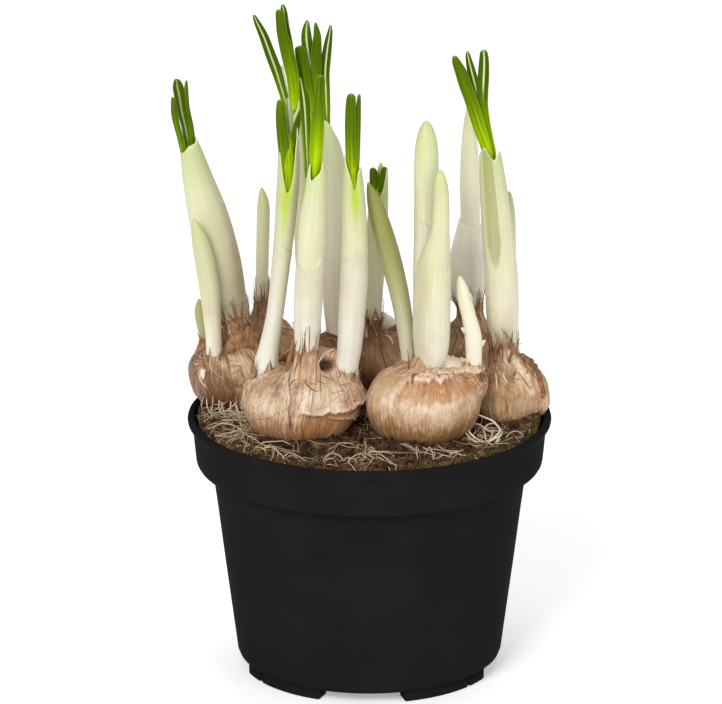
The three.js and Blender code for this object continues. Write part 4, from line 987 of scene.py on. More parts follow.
def makeCorm(name, corm, seed):
    points, normal, rows, columns = cormSurface(corm, [growth for growth in growths if growth["corm"] == name])
    at, ring = np.array(corm["at"], float), corm["radius"]
    fibre = fibreTurn(points, corm)
    grain = np.stack([np.cos(fibre) * ring, np.sin(fibre) * ring, points[:, 2] - at[2]], 1)
    stretched = grain * (1, 1, 0.12)
    lift = (coatForm["fine"] * cloudAt(stretched, 1.5, seed, 2)
            + coatForm["fibres"] * cloudAt(stretched * (1, 1, 1.6), 0.42, seed + 5, 2))
    lift += coatForm["lumps"] * cloudAt(points, 0.16, seed + 9, 3)
    under, dark, patch = (np.zeros(len(points)) for _ in range(3))
    facing = np.degrees(np.arctan2(points[:, 1] - at[1], points[:, 0] - at[0]))
    for k, torn in enumerate(corm.get("torn", [])):
        where = fade(facing, torn["from"] - 14, torn["from"]) * fade(facing, torn["to"] + 18, torn["to"])
        edge = torn["height"] + torn["ragged"] * cloudAt(grain * (1, 1, 0), 0.32, seed + 21 + k, 4, 0.7)
        paper = fade(points[:, 2], edge - 0.2, edge + 0.2)
        curl = bell(points[:, 2] - edge - 0.6, 0.8)
        lift += where * (torn["step"] * (paper - 0.5) + curl * paper)
        shown = fade(points[:, 2], edge - torn["deep"] - 3, edge - torn["deep"])
        under += where * (1 - paper) * shown - 0.6 * where * curl * paper
    # older coats show through in places with ragged edges
    flake = fade(cloudAt(grain * (1, 1, 0.3), 0.16, seed + 31, 3, 0.6), 0.16, 0.22)
    lift -= coatForm["flake"] * flake
    older = 0.5 * flake * fade(points[:, 2], at[2] + 8, at[2] - 4)
    under = np.where(under < 0, under, np.maximum(under, older))
    # pale spots of the coat, and painted light: the satin highlight on the front right corm, and spots lightened on
    # corms in shade
    for x, y, z, size in corm.get("palesAndHighlights", []):
        under -= bell(apartFrom(points, (x, y, z)), size) * (0.8 + 0.5 * cloudAt(points, 0.5, seed + 51, 2))
    # a pit sinks in and is darkened inside: painted shade
    for x, y, z, size, deep in corm.get("pits", []):
        apart = apartFrom(points, (x, y, z)) * (1 + 0.35 * cloudAt(points, 0.35, seed + 61, 2))
        near = np.exp(-(apart / size) ** 4)
        lift += coatForm["pitRim"] * bell(apart - 1.35 * size, 0.7) - near * deep
        dark = np.maximum(dark, 0.86 * fade(near, 0.05, 0.95))
    # a seam is a groove with a dark line: painted shade
    for x, low, high in corm.get("seams", []):
        line = bell(points[:, 0] - x - 0.35 * np.sin(0.7 * points[:, 2]), 0.3) * (points[:, 1] < at[1])
        line *= fade(points[:, 2], low - 2, low + 2) * fade(points[:, 2], high + 2, high - 2)
        lift -= coatForm["seam"] * line
        dark = np.maximum(dark, 0.75 * line)
    dark = np.maximum(dark, 0.42 * fade(points[:, 2], 88, 85.5))  # darker towards its lowest part, by the soil
    for x, y, z, size, tone in corm.get("patches", []):
        blotched = 0.8 + 1.2 * cloudAt(points, 0.5, seed + 41, 3, 0.6)
        patch += tone * bell(apartFrom(points, (x, y, z)), size) * blotched
    points = points + normal * lift[:, None]
    height = (points[:, 2] - (at[2] - corm["half"])) / (2 * corm["half"])

    poles = np.array([points[:columns].mean(0), points[-columns:].mean(0)])
    marks = np.stack([patch, height, under], 1)
    ends = np.array([marks[:columns].mean(0), marks[-columns:].mean(0)])
    parts = Parts()
    parts.add(np.vstack([points, poles]), *closedGrid(rows, columns, True), np.vstack([grain, poles - at]),
              np.vstack([marks, ends]), np.concatenate([dark, [0, 1]]))
    parts.make("tunic_" + name, tunicFinishes[corm["finish"]], ["corm_" + name])
    return points.reshape(rows, columns, 3)


cormGrids = {name: makeCorm(name, corm, 100 + 13 * k) for k, (name, corm) in enumerate(corms.items())}

print("stage: soil")

soilShape = {
    "height": 84.8, "mound": 1.7, "moundWidth": 4.5, "backRise": 0.016, "leftRise": -0.006, "lump": 0.45,
    "highest": 87.4, "rim": 56.6, "bottom": 4.9, "mossFrom": 44, "mossTo": 55,
    "skirt": [(56.2, 81.5), (55.7, 72.6), (50.5, 70.9), (42.1, 6.2), (20, 4.9)],
    "rings": 112, "sides": 352,
    "crumbs": [(0.33, 0.7), (0.8, 0.65), (1.9, 0.35)],  # noise per mm and its height
}


def soilMean(x, y):
    lumps = (np.sin(0.31 * x + 0.8) * np.cos(0.27 * y - 0.4)
             + 0.6 * np.sin(0.83 * x - 0.49 * y + 1.1) * np.cos(0.71 * y + 0.37 * x))
    near = 0.0
    for corm in corms.values():  # earth is heaped up to each corm
        apart = np.hypot(x - corm["at"][0], y - corm["at"][1]) - 0.84 * corm["radius"]
        near = np.maximum(near, bell(np.maximum(apart, 0), soilShape["moundWidth"]))
    return (soilShape["height"] + soilShape["backRise"] * y + soilShape["leftRise"] * x
            + soilShape["lump"] * lumps + soilShape["mound"] * near)


def soilTop(x, y):
    x, y = np.asarray(x, float), np.asarray(y, float)
    p = np.stack([x.ravel(), y.ravel(), np.zeros(x.size)], 1)
    rough = 0.0
    for k, (scale, height) in enumerate(soilShape["crumbs"]):
        rough = rough + height * (1 - 2 * np.abs(cloudAt(p, scale, 40 + k)))
    radius = np.hypot(x, y)
    even = np.minimum(soilMean(x, y), soilShape["highest"] - 1.2 * fade(radius, 49, 54))
    # it rises a little to the pot's wall and drops where it meets it
    return (even + 0.8 * rough.reshape(x.shape) - 0.5
            + 0.9 * fade(radius, 48, 53) - 0.5 * fade(radius, 55.8, 56.6))


def makeSoil():
    parts = Parts()
    sides, rings = soilShape["sides"], soilShape["rings"]
    radius = (soilShape["rim"] * (np.arange(1, rings + 1) / rings) ** 0.75)[:, None]
    turn = around(sides)
    x, y = radius * np.cos(turn), radius * np.sin(turn)
    top = np.stack([x, y, soilTop(x, y)], -1).reshape(-1, 3)
    skirt = np.array([(r * math.cos(a), r * math.sin(a), z) for r, z in soilShape["skirt"] for a in turn])
    ends = [(0, 0, float(soilTop(0.0, 0.0))), (0, 0, soilShape["bottom"])]
    points = np.vstack([top, skirt, ends])
    p = points * (1, 1, 0)
    moss = fade(np.hypot(p[:, 0], p[:, 1]), soilShape["mossFrom"], soilShape["mossTo"])
    moss = moss * fade(cloudAt(p, 0.16, 71, 2), -0.25, 0.5)
    # hollow: painted shade in the dips, where the bed lies below its smooth level
    hollow = fade(soilMean(p[:, 0], p[:, 1]) - points[:, 2], 0.1, 1.5) * (points[:, 2] > 82)
    quads, triangles = closedGrid(rings + len(soilShape["skirt"]), sides, True)
    parts.add(points, quads, triangles, marks=np.stack([moss, hollow, 0 * moss], 1))
    parts.make("soil_bed", peatFinish, ["soil"])


makeSoil()

print("stage: fibres round the feet of the shoots")

fibreSet = {
    "rising": 30, "perCollar": 6, "lying": 34, "lyingPerCollar": 1.5, "scraps": 0.3, "flatScraps": 0.2,
    "risingWidth": (0.13, 0.3), "scrapWidth": (0.35, 1.2), "lyingWidth": (0.12, 0.27), "flatWidth": (0.4, 1.1),
    "threadWidth": (0.08, 0.2), "lyingReach": (2.5, 8), "threadReach": (2.5, 10), "gap": 0.42,
    "threads": {"tan": 9, "chestnut": 9, "gold": 3, "straw": 10, "brown": 7, "dark": 7},
}


def surfaceAt(name, ways):
    # where a way out from a corm's centre leaves it
    grid = cormGrids[name]
    rows, columns = grid.shape[:2]
    ways = unit(ways)
    r = np.clip(np.arccos(np.clip(ways[:, 2], -1, 1)) / math.pi * rows - 0.5, 0, rows - 1.001)
    c = np.arctan2(ways[:, 1], ways[:, 0]) / (2 * math.pi) * columns
    i, j = r.astype(int), np.floor(c).astype(int)
    fr, fc = (r - i)[:, None], (c - j)[:, None]
    near, far = (grid[k, j % columns] * (1 - fc) + grid[k, (j + 1) % columns] * fc for k in (i, i + 1))
    return near * (1 - fr) + far * fr


def lineOver(name, start, heading, length, bend, count):
    # a curve over a corm: start is a way out from its centre, heading 0 runs downwards
    start = unit(start)
    radius = corms[name]["radius"]
    down = unit(start * start[2] - np.array([0, 0, 1.0]))
    side = np.cross(start, down)
    s = np.linspace(0, length / radius, count)[:, None]
    turn = heading + bend * s / s[-1]
    ways = start * np.cos(s) + (down * np.cos(turn) + side * np.sin(turn)) * np.sin(s)
    return surfaceAt(name, ways), ways


footSwell = {"above": 3, "reach": 5}


def footSpread(shoot, level):
    # how much of its foot's extra width a sheath has at this height
    return math.exp(-((level - shoot["path"][0][2] - footSwell["above"]) / footSwell["reach"]) ** 2)


def addRising(parts, shoot, draw):
    # strands and torn scraps that stand up round one shoot
    path = np.array(shoot["path"], float)
    collar = shoot["collar"]
    low, top, spread = neckOf(shoot)
    for _ in range(int(fibreSet["rising"] + fibreSet["perCollar"] * collar)):
        turn = draw.uniform(0, fullTurn)
        swirl = draw.normal(0, 0.35)
        scrap = draw.random() < fibreSet["scraps"]
        start = top - draw.uniform(0.5, 5)
        end = top + draw.uniform(0.1, 1.0) ** 1.5 * (1.6 + 0.75 * collar)
        flare = draw.uniform(0, 1) ** 2 * (1.1 if scrap else 2.2)
        points = []
        for t in (0, 0.33, 0.67, 1):
            level = start + (end - start) * t
            along = min(1, max(0, (level - low) / (top - low)))
            foot = 1 + shoot.get("foot", 0) * footSpread(shoot, level)
            radius = np.interp(level, path[:, 2], path[:, 3]) / 2 * foot + fibreSet["gap"]
            radius += spread * (1 - along) ** 1.3 + flare * t ** 2.5
            points.append((*(atLevel(path, level, 2) + radius * compass(turn + swirl * t)), level))
        fine, _ = smoothPath(points, 7)
        run = np.linspace(0, 1, 7)
        out = (*compass(turn), 0)
        tone = draw.uniform(0.2, 0.9)
        if scrap:
            width = draw.uniform(*fibreSet["scrapWidth"]) * (1 - run ** 1.4) + 0.08
            addTube(parts, fine, width, 0.12, out, 6, tone, tone * 0.7)
        else:
            width = draw.uniform(*fibreSet["risingWidth"]) * (1 - 0.6 * run)
            addTube(parts, fine, width, width, out, 4, tone, tone * draw.uniform(0.3, 1))


def addLying(parts, name, shoot, draw):
    # strands and scraps that lie round one shoot's foot
    centre = np.array(corms[name]["at"], float)
    foot = np.array(shoot["path"][0], float)
    for _ in range(int(fibreSet["lying"] + fibreSet["lyingPerCollar"] * shoot["collar"])):
        turn = draw.uniform(0, fullTurn)
        away = foot[3] / 2 + draw.uniform(0.6, 3)
        start = foot[:3] + (*(away * compass(turn)), 0) - centre
        outward = unit(np.array([*compass(turn), -0.4]))
        way = unit(start)
        down = unit(way * way[2] - np.array([0, 0, 1.0]))
        heading = math.atan2(outward @ np.cross(way, down), outward @ down)
        line, ways = lineOver(name, start, heading + draw.normal(0, 0.45),
                              draw.uniform(*fibreSet["lyingReach"]), draw.normal(0, 0.6), 8)
        flat = draw.random() < fibreSet["flatScraps"]
        rise = draw.uniform(0, 0.3 if flat else 0.9) * np.linspace(0, 1, 8)[:, None] ** 2
        lifted = line + ways * (0.06 + rise)
        tone = draw.uniform(0.25, 1.0)
        if flat:
            width = draw.uniform(*fibreSet["flatWidth"]) * np.sin(np.linspace(0.5, 3.1, 8)) ** 0.7
            addTube(parts, lifted, width, 0.1, ways[4], 6, tone, tone)
        else:
            width = draw.uniform(*fibreSet["lyingWidth"]) * np.linspace(1, 0.5, 8)
            addTube(parts, lifted, width, width, ways[4], 4, tone, tone)


def addThreads(parts, name, corm, draw):
    # loose fibres that lie along a corm and lift at their ends
    ends = np.array([1, 0.35, 0.05, 0, 0, 0.05, 0.35, 1])[:, None]
    taper = np.array([0.5, 0.85, 1, 1, 1, 1, 0.85, 0.4])
    for _ in range(int(fibreSet["threads"][corm["finish"]] * corm["radius"])):
        tilt = math.acos(draw.uniform(-0.6, 0.8))
        turn = draw.uniform(0, fullTurn)
        start = np.array([*(math.sin(tilt) * compass(turn)), math.cos(tilt)])
        line, ways = lineOver(name, start, draw.normal(0, 0.22), draw.uniform(*fibreSet["threadReach"]),
                              draw.normal(0, 0.3), 8)
        lifted = line + ways * (0.03 + ends * draw.uniform(0, 1) ** 3 * 1.2)
        width = draw.uniform(*fibreSet["threadWidth"]) * taper
        tone = draw.uniform(0.1, 1.0)
        addTube(parts, lifted, width, width * 0.7, ways[4], 4, tone, tone)


# single strands and scraps: corm, points from root to tip, width in the middle, thickness, tone
strands = [
    ("front_right", [(13.6, -20, 106.4), (14.2, -17, 108.6), (14.6, -13.5, 111.6), (14, -11.6, 115.2)], 0.9, 0.2,
        0.12),
    ("front_right", [(14.6, -19, 107.2), (15.2, -16.6, 109.4), (15.4, -14, 113), (15.8, -13, 116.6)], 0.5, 0.2,
        0.05),
    ("front_right", [(12.6, -18.6, 106.9), (12.8, -15.4, 109.6), (12.4, -12.2, 112.6)], 0.45, 0.2, 0.2),
    ("front_right", [(27, -20.5, 107.2), (24, -21.8, 108), (20.5, -22.6, 107.8), (17.4, -22, 107.2)], 1.5, 0.16,
        0.8),
    ("front_left", [(-27.2, -19.6, 107.6), (-26.6, -19.8, 111), (-25.6, -19.6, 114.6), (-25.2, -19.8, 118)], 1.7,
        0.16, 0.3),
    ("front_left", [(-25.2, -21.2, 107.6), (-24.4, -21.4, 110.6), (-23.8, -21, 113.2)], 1.3, 0.16, 0.65),
    ("front_left", [(-17.4, -19.6, 108), (-16.4, -19, 110.8), (-14.4, -18, 113.2), (-11.4, -17.4, 114.4)], 0.5, 0.3,
        0.7),
    ("front_left", [(-13, -17.6, 103.8), (-9, -18, 102.4), (-5.6, -16.8, 102), (-3.6, -14.6, 101.6)], 1.1, 0.25,
        0.42),
    ("right", [(41.4, -4.8, 105.4), (41, -5.6, 109), (42, -6.2, 113), (40.6, -6.6, 117.6)], 1.4, 0.18, 0.35),
    ("right", [(45.6, -6, 106), (46.8, -6.2, 110.4), (45.6, -6.4, 114.4), (42.8, -7, 118.4)], 1.1, 0.18, 0.3),
]

# loose paper: foot and free edge by x, height in a view from the front, and how far the edge stands off
flaps = [
    {"corm": "right", "tone": 0.82, "crumple": 0.3,
        "foot": [(45.2, 107.4), (47.6, 103.6), (50.2, 99.6), (53.2, 95.6)],
        "edge": [(46.2, 108.2, 0.6), (49, 104.6, 0.9), (51.8, 100.6, 0.9), (54.4, 96, 0.6)]},
    {"corm": "right", "tone": 0.3, "crumple": 0.6, "foot": [(49.6, 106.6), (53, 103), (56, 97), (57, 92)],
        "edge": [(50.4, 107.4, 0.8), (54.4, 103.6, 1), (57.2, 97.4, 0.8), (57.6, 91, 0.6)]},
    {"corm": "front_right", "tone": 1.1, "crumple": 0.9,
        "foot": [(21.9, 101), (25.2, 101.7), (29.1, 102.1), (33.1, 102.8)],
        "edge": [(21.2, 104.2, 1.2), (25.2, 106.2, 1.6), (29.1, 107.4, 1.6), (32.8, 105.4, 1)]},
    {"corm": "front_right", "tone": 0.75, "crumple": 0.5,
        "foot": [(15.6, 99.2), (20.6, 100), (25.2, 100.4), (31, 100.8)],
        "edge": [(15.8, 100.4, 0.6), (20.6, 101.8, 1.1), (25.2, 102.1, 1), (30.6, 102.2, 0.8)]},
    {"corm": "left", "tone": 0.42, "crumple": 0.7,
        "foot": [(-47.4, 107.4), (-43.3, 108.4), (-39.4, 108.8), (-35.4, 108.2)],
        "edge": [(-46.8, 112.6, 0.6), (-43, 115, 1), (-39, 115.8, 1), (-35.8, 113.6, 0.8)]},
    {"corm": "left", "tone": 1.1, "crumple": 0.3, "foot": [(-56.1, 102.3), (-55.3, 102.7), (-54.4, 102.3)],
        "edge": [(-55.9, 99.6, 0.5), (-55.1, 98.4, 0.8), (-54.4, 99.8, 0.5)]},
    {"corm": "front_left", "tone": 0.7, "crumple": 0.35,
        "foot": [(-13.4, 85.6), (-8.8, 85.2), (-5.4, 86), (-3.4, 88)],
        "edge": [(-13.4, 84.6, 0.7), (-8.8, 84, 1), (-5.2, 84.6, 1.2), (-2.8, 86.8, 1.2)]},
    {"corm": "front_left", "tone": 0.6, "crumple": 0.8, "foot": [(-29, 107.2), (-26.6, 105.2), (-24.6, 103.4)],
        "edge": [(-28, 109.6, 0.8), (-25.4, 108, 1.3), (-23.2, 104.2, 1)]},
]
flapForm = {"rows": 30, "columns": 9, "thin": 0.09, "tucked": 0.3, "arch": 0.35}


def seenAt(name, x, level):
    # the spot of a corm that shows at x and at this height from the front
    grid = cormGrids[name].reshape(-1, 3)
    slope = math.tan(math.radians(cameraSetup["elevation"]))
    apart = np.hypot(grid[:, 0] - x, grid[:, 2] + slope * grid[:, 1] - level)
    near = grid[apart < max(0.7, apart.min() + 0.1)]
    return near[np.argmin(near[:, 1])]


def addFlap(parts, flap, seed):
    rows, columns = flapForm["rows"], flapForm["columns"]
    middle = np.array(corms[flap["corm"]]["at"], float)
    foot = np.array([seenAt(flap["corm"], x, level) for x, level in flap["foot"]])
    edge = np.array([seenAt(flap["corm"], x, level) for x, level, _ in flap["edge"]])
    edge = edge + unit(edge - middle) * np.array([off for _, _, off in flap["edge"]])[:, None]
    half = len(foot) // 2
    if np.cross(edge[half] - foot[half], foot[-1] - foot[0]) @ (foot[half] - middle) < 0:
        foot, edge = foot[::-1], edge[::-1]  # keeps its faces outward
    foot, _ = smoothPath(foot - flapForm["tucked"] * unit(foot - middle), rows)
    edge, _ = smoothPath(edge, rows)
    ragged = 1 + 0.35 * cloudAt(edge, 0.9, seed, 2)
    ragged[[0, -1]] *= 0.5
    v = np.linspace(0, 1, columns)
    sheet = foot[:, None] + (edge - foot)[:, None] * (v[None] * ragged[:, None])[..., None]
    out = unit(sheet - middle)
    fold = cloudAt(sheet.reshape(-1, 3), 0.75, seed + 5, 2).reshape(rows, columns)
    sheet = sheet + out * (flap["crumple"] * fold * v[None]
                           + flapForm["arch"] * np.sin(v * math.pi)[None])[..., None]
    thin = flapForm["thin"] * (1 - 0.5 * v)[None, :, None] * out
    ring = np.concatenate([sheet + thin, (sheet - thin)[:, ::-1]], 1)
    ends = np.array([ring[0].mean(0), ring[-1].mean(0)])
    tone = flap["tone"] + 0.25 * cloudAt(ring.reshape(-1, 3), 1.1, seed + 9, 2)
    marks = np.zeros((len(tone) + 2, 3))
    marks[:, 0] = np.concatenate([tone, tone[[0, -1]]])
    parts.add(np.vstack([ring.reshape(-1, 3), ends]), *closedGrid(rows, 2 * columns), marks=marks)


def addStrand(parts, points, width, thick, tone, middle):
    line, _ = smoothPath(points, 14)
    shape = np.sin(np.linspace(0.9, 3.0, 14)) ** 0.8
    addTube(parts, line, width * shape, thick * shape ** 0.3, line[7] - middle, 8, tone, tone + 0.15)


def makeFibres():
    draw = np.random.default_rng(7)
    for name, corm in corms.items():
        parts = Parts()
        for growth in growths:
            if growth["corm"] == name:
                addRising(parts, growth, draw)
                addLying(parts, name, growth, draw)
        addThreads(parts, name, corm, draw)
        for owner, points, width, thick, tone in strands:
            if owner == name:
                addStrand(parts, points, width, thick, tone, np.array(corm["at"], float))
        for k, flap in enumerate(flaps):
            if flap["corm"] == name:
                addFlap(parts, flap, 300 + 7 * k)
        parts.make("fibres_" + name, fibreFinish)


makeFibres()

print("stage: sheaths")

sheathForm = {
    "sides": 40, "openSides": 64, "ringStep": 1.5, "moreRings": 10, "tipRings": 16, "wall": 0.55, "edge": 0.28,
    "flute": 0.02, "wander": 0.03, "seam": 0.05, "seamAt": 4.4, "grainRadius": 4.0,
}
sleeveForm = {"stepOut": 0.3, "pocket": 6, "rise": 0.45, "green": (-0.6, -0.3, 0.0)}


def mouthProfile(shoot, turn, seed):
    # how far the mouth's edge stands above or below the end of the path, by turn
    rim = shoot["rim"]
    angles = [angle for angle, _ in rim] + [rim[0][0] + 360]
    profile = np.interp(degreesFrom(turn, 0), angles, [height for _, height in rim] + [rim[0][1]])
    for _ in range(2):
        profile = (np.roll(profile, 1) + 2 * profile + np.roll(profile, -1)) / 4
    return profile + 0.3 * cloudAt(np.stack([np.cos(turn), np.sin(turn), 0 * turn], 1), 2.6, seed + 3, 2)


def addSheath(parts, shoot, seed):
    path = shoot["path"]
    foot = path[0][2]
    rise = path[-1][2] - foot
    closed = "tip" in shoot
    rings = int(rise / sheathForm["ringStep"]) + sheathForm["moreRings"]
    line, length = smoothPath(path, rings)
    place = np.linspace(0, 1, rings)
    if closed:  # extra rings round off the tip
        t = 1 - shoot["tip"] / length
        extra = t + (1 - t) * np.sin(np.linspace(0, 1, sheathForm["tipRings"]) * math.pi / 2)
        place = np.concatenate([np.linspace(0, t, rings)[:-1], extra])
    spot = onLine(line, place)
    along, across, back = framesAlong(spot[:, :3], np.array([0, 1.0, 0]))
    sides = sheathForm["sides"] if closed else sheathForm["openSides"]
    turn = around(sides)
    radius = spot[:, 3] / 2
    if closed:
        past = np.clip((place - t) / (1 - t), 0, 1)
        radius = radius * np.maximum(0.02, (1 - past ** 2.0)) ** 0.55
    rows = len(place)
    shape = 1 + sheathForm["flute"] * np.sin(3 * turn + seed)[None] * np.ones((rows, 1))
    wave = gridOf(np.cos(turn)[None] * 2, np.sin(turn)[None] * 2, place[:, None] * rise * 0.045)
    shape = shape + sheathForm["wander"] * cloudAt(wave.reshape(-1, 3), 1.0, seed, 2).reshape(rows, sides)
    if "foot" in shoot:  # it widens where it stands on the corm
        wider = shoot["foot"] * bell(spot[:, 2] - foot - footSwell["above"], footSwell["reach"])
        shape = shape * (1 + wider[:, None])
    if "lobes" in shoot:
        end = shoot.get("lobesTo", 999)
        share = shoot["lobes"] * fade(spot[:, 2], end, end - 12)
        shape = shape * (1 + share[:, None] * np.cos(2 * (turn - math.radians(shoot["lobesAt"])))[None])
    green = np.interp(place, np.linspace(0, 1, len(shoot["green"])), shoot["green"])[:, None]
    heights = spot[:, 2][:, None]
    strip = shoot.get("strip")
    if strip:
        apart = np.abs(degreesFrom(turn, strip["at"]))[None]
        half = strip["width"] * np.clip((heights - strip["from"]) / 9, 0, 1) ** 0.6
        near = fade(apart, half + 4, half - 6) * fade(heights, strip["from"] - 1, strip["from"] + 4)
        green = green + strip["green"] * near
        edges = bell(apart - half - 6, 6) * fade(heights, strip["from"], strip["from"] + 8)
        shape = shape - 0.07 * near + 0.03 * edges
    dark = np.zeros((rows, sides))
    # tan patches of painted shade, olive where the strength is below nought
    for at, level, wide, tall, deep in shoot.get("paintedShade", []):
        dark = dark - deep * bell(degreesFrom(turn, at), wide)[None] * bell(heights - level, tall)
    if closed:  # the edges of the rolled sheath meet in a fine line
        seam = bell(turn - sheathForm["seamAt"] - 0.5 * math.sin(seed), 0.09)
        shape = shape - sheathForm["seam"] * seam[None] * fade(place, 0.35, 0.8)[:, None]
    shift, edge = np.zeros((rows, sides)), np.zeros((rows, sides))
    if not closed:
        profile = mouthProfile(shoot, turn, seed)
        share = np.clip((place - (1 - (shoot["pocket"] - 2) / length)) / ((shoot["pocket"] - 2) / length), 0, 1)
        shift = share[:, None] * profile[None]
        slit = shoot.get("slit")
        if slit:  # green shows through below the bottom of a deep slit
            apart = degreesFrom(turn, slit["at"])
            lowest = spot[-1, 2] + profile.min()
            rising = fade(heights + shift, lowest - slit["down"], lowest)
            below = rising * fade(heights + shift, lowest + 9, lowest + 1)
            edge = -(bell(apart[None], 8 + 16 * rising) + 0.25 * bell(apart[None], 45)) * below
            shape = shape - 0.035 * bell(apart, 7)[None] * below
        edge = edge + fade(place, 1 - 1.2 / length, 1)[:, None]
        shape = shape * (1 - 0.035 * np.clip(profile, 0, 3)[None] * share[:, None] ** 3)

    def wallAt(these, inward):
        r = np.maximum(radius[these, None] * shape[these] - inward, 0.05)[..., None]
        out = np.cos(turn)[None, :, None] * across[these, None] + np.sin(turn)[None, :, None] * back[these, None]
        return spot[these, None, :3] + r * out + shift[these][..., None] * along[these, None]

    wall = wallAt(np.arange(rows), 0.0)
    marks = gridOf(place[:, None] * shoot.get("rise", 1), green, edge)
    flat = sheathForm["grainRadius"]
    grain = gridOf(np.cos(turn)[None] * flat, np.sin(turn)[None] * flat, place[:, None] * length + 37 * seed)
    if not closed:  # the wall turns over at the mouth and runs down inside
        inside = np.arange(rows)[place > 1 - shoot["pocket"] / length][::-1]
        inner = wallAt(inside, sheathForm["wall"])
        inner[0] = wallAt(inside[:1], sheathForm["edge"])[0]
        wall = np.concatenate([wall, inner])
        marks = np.concatenate([marks, marks[inside] * (1, 1, 0.4)])
        grain = np.concatenate([grain, grain[inside]])
        # the inside of the mouth darkens with depth: painted shade
        depth = np.clip(np.linspace(0, 1.2, len(inside)), 0, 1)[:, None]
        dark = np.concatenate([dark, np.broadcast_to(depth, (len(inside), sides))])
    ends = np.array([wall[0].mean(0), wall[-1].mean(0) + (along[-1] * 0.15 if closed else 0)])
    addShell(parts, wall, ends, grain, marks, np.concatenate([dark.ravel(), [0, 0 if closed else 1]]))


def addSleeve(parts, shoot, sleeve, seed):
    # an outer skin that ends lower down, in a slanting edge
    top = tuple(float(v) for v in atLevel(np.array(shoot["path"], float), sleeve["to"], 4))
    kept = [point for point in shoot["path"] if point[2] < sleeve["to"] - 1] + [top]
    slant, towards = sleeve.get("slant", 0), math.radians(sleeve.get("towards", 0))
    outer = {
        "path": [(x, y, z, w + sleeveForm["stepOut"]) for x, y, z, w in kept],
        "rim": [(a, slant * math.cos(math.radians(a) - towards)) for a in range(-180, 180, 20)],
        "pocket": sleeveForm["pocket"], "rise": sleeveForm["rise"], "green": sleeveForm["green"],
        "foot": shoot.get("foot", 0), "paintedShade": shoot.get("paintedShade", []),
    }
    outer.update({key: sleeve[key] for key in ("path", "rim", "green") if key in sleeve})
    addSheath(parts, outer, seed)


for k, (name, shoot) in enumerate(shoots.items()):
    parts = Parts()
    addSheath(parts, shoot, 3 + k)
    for sleeve in shoot.get("sleeves", []):
        addSleeve(parts, shoot, sleeve, 53 + k)
    parts.make("skin_" + name, skinFinish, ["sheath_" + name])

print("stage: leaves")

leafForm = {
    "rows": 30, "tipRows": 9, "columns": 15, "thick": 0.5, "edgeThick": 0.24, "hollow": 0.42, "ruffle": 0.05,
    "ribRidge": 0.02, "leastTip": 0.5,
    "lightOver": 34, "tipHighlight": 0.8,
}
coreShape = [0.9, 1, 1, 1, 1, 0.95, 0.75, 0.4]


def addLeaf(parts, shoot, leaf, seed):
    # a hollow blade with a keel outside and a pale stripe inside
    line, length = smoothPath(leaf["path"][::-1], 60)
    blunt = max(leafForm["leastTip"], 0.5 * line[-1, 3] + 0.15)
    place = np.linspace(0, 1 - blunt / length, leafForm["rows"])
    ending = 1 - blunt / length * (1 - np.sin(np.linspace(0, 1, leafForm["tipRows"]) * math.pi / 2))
    place = np.concatenate([place[:-1], ending])
    spot = onLine(line, place)
    points = spot[:, :3]
    columns = leafForm["columns"]
    tangent = unit(np.gradient(points, place, axis=0))
    faces = math.radians(leaf["faces"])
    side = unit(np.cross(tangent, np.array([*compass(faces), 0])))
    outward = np.cross(side, tangent)
    past = np.clip((place - ending[0]) / (1 - ending[0]), 0, 1)
    shown = max(0.5, abs(math.sin(faces)))
    half = np.maximum(0.06, spot[:, 3] / 2 / shown * np.sqrt(1 - 0.98 * past ** 2))[:, None]
    u = np.sin(np.linspace(-1, 1, columns) * math.pi / 2)
    across = u[None] * half
    near = np.sqrt(u[None] ** 2 + leafForm["ribRidge"]) - math.sqrt(leafForm["ribRidge"])
    keel = leafForm["hollow"] * half * (near - 0.25 * u[None] ** 4) * (1 - 0.4 * past[:, None])
    thick = leafForm["edgeThick"] + (leafForm["thick"] - leafForm["edgeThick"]) * (1 - u[None] ** 2)
    thick = thick * np.minimum(1, 0.3 + half)
    ruffle = leafForm["ruffle"] * np.sin(place * 13 + seed)[:, None] * np.abs(u)[None] ** 3
    sheets = []
    for sign in (1, -1):
        deep = -keel + ruffle + sign * thick / 2
        sheets.append(points[:, None] + across[..., None] * side[:, None] + deep[..., None] * outward[:, None])
    ring = np.concatenate([sheets[0], sheets[1][:, ::-1]], 1)
    ringU = np.concatenate([u, u[::-1]])
    inner = np.concatenate([np.zeros(columns), np.ones(columns)])
    aboveMouth = points[:, 2] - shoot["path"][-1][2] - shoot["bright"]
    over = np.clip(0.48 + aboveMouth / leafForm["lightOver"], 0, 0.94)
    # the last part of the tip turns lighter: a painted highlight
    over = np.maximum(over, 1 - 0.06 * np.clip((1 - place) * length / leafForm["tipHighlight"], 0, 20))
    above = np.clip((points[:, 2] - points[0, 2]) / (points[-1, 2] - points[0, 2]), 0, 1)
    start = leaf.get("stripeFrom", 0.05)
    stripe = leaf.get("rib", 0) * fade(above, start - 0.05, start + 0.15)
    marks = gridOf(ringU[None], over[:, None], stripe[:, None] * inner[None])
    grain = gridOf(ringU[None] * half + 9 * seed, inner[None], place[:, None] * length)
    ends = np.array([ring[0].mean(0), ring[-1].mean(0) + tangent[-1] * 0.05])
    addShell(parts, ring, ends, grain, marks, np.full(ring.shape[0] * ring.shape[1] + 2, leaf.get("pale", 0.0)))


def addCore(parts, shoot):
    # the folded young leaves that fill the sheath under its mouth
    line, length = smoothPath(shoot["path"], 60)
    spot = onLine(line, np.linspace(1 - (shoot["pocket"] - 1) / length, 1, len(coreShape)))
    width = (spot[:, 3] - 2.6) * np.array(coreShape)
    addTube(parts, spot[:, :3], width, width, (0, 1, 0), 14, sameMarks=(0.5, 0.08, 0))


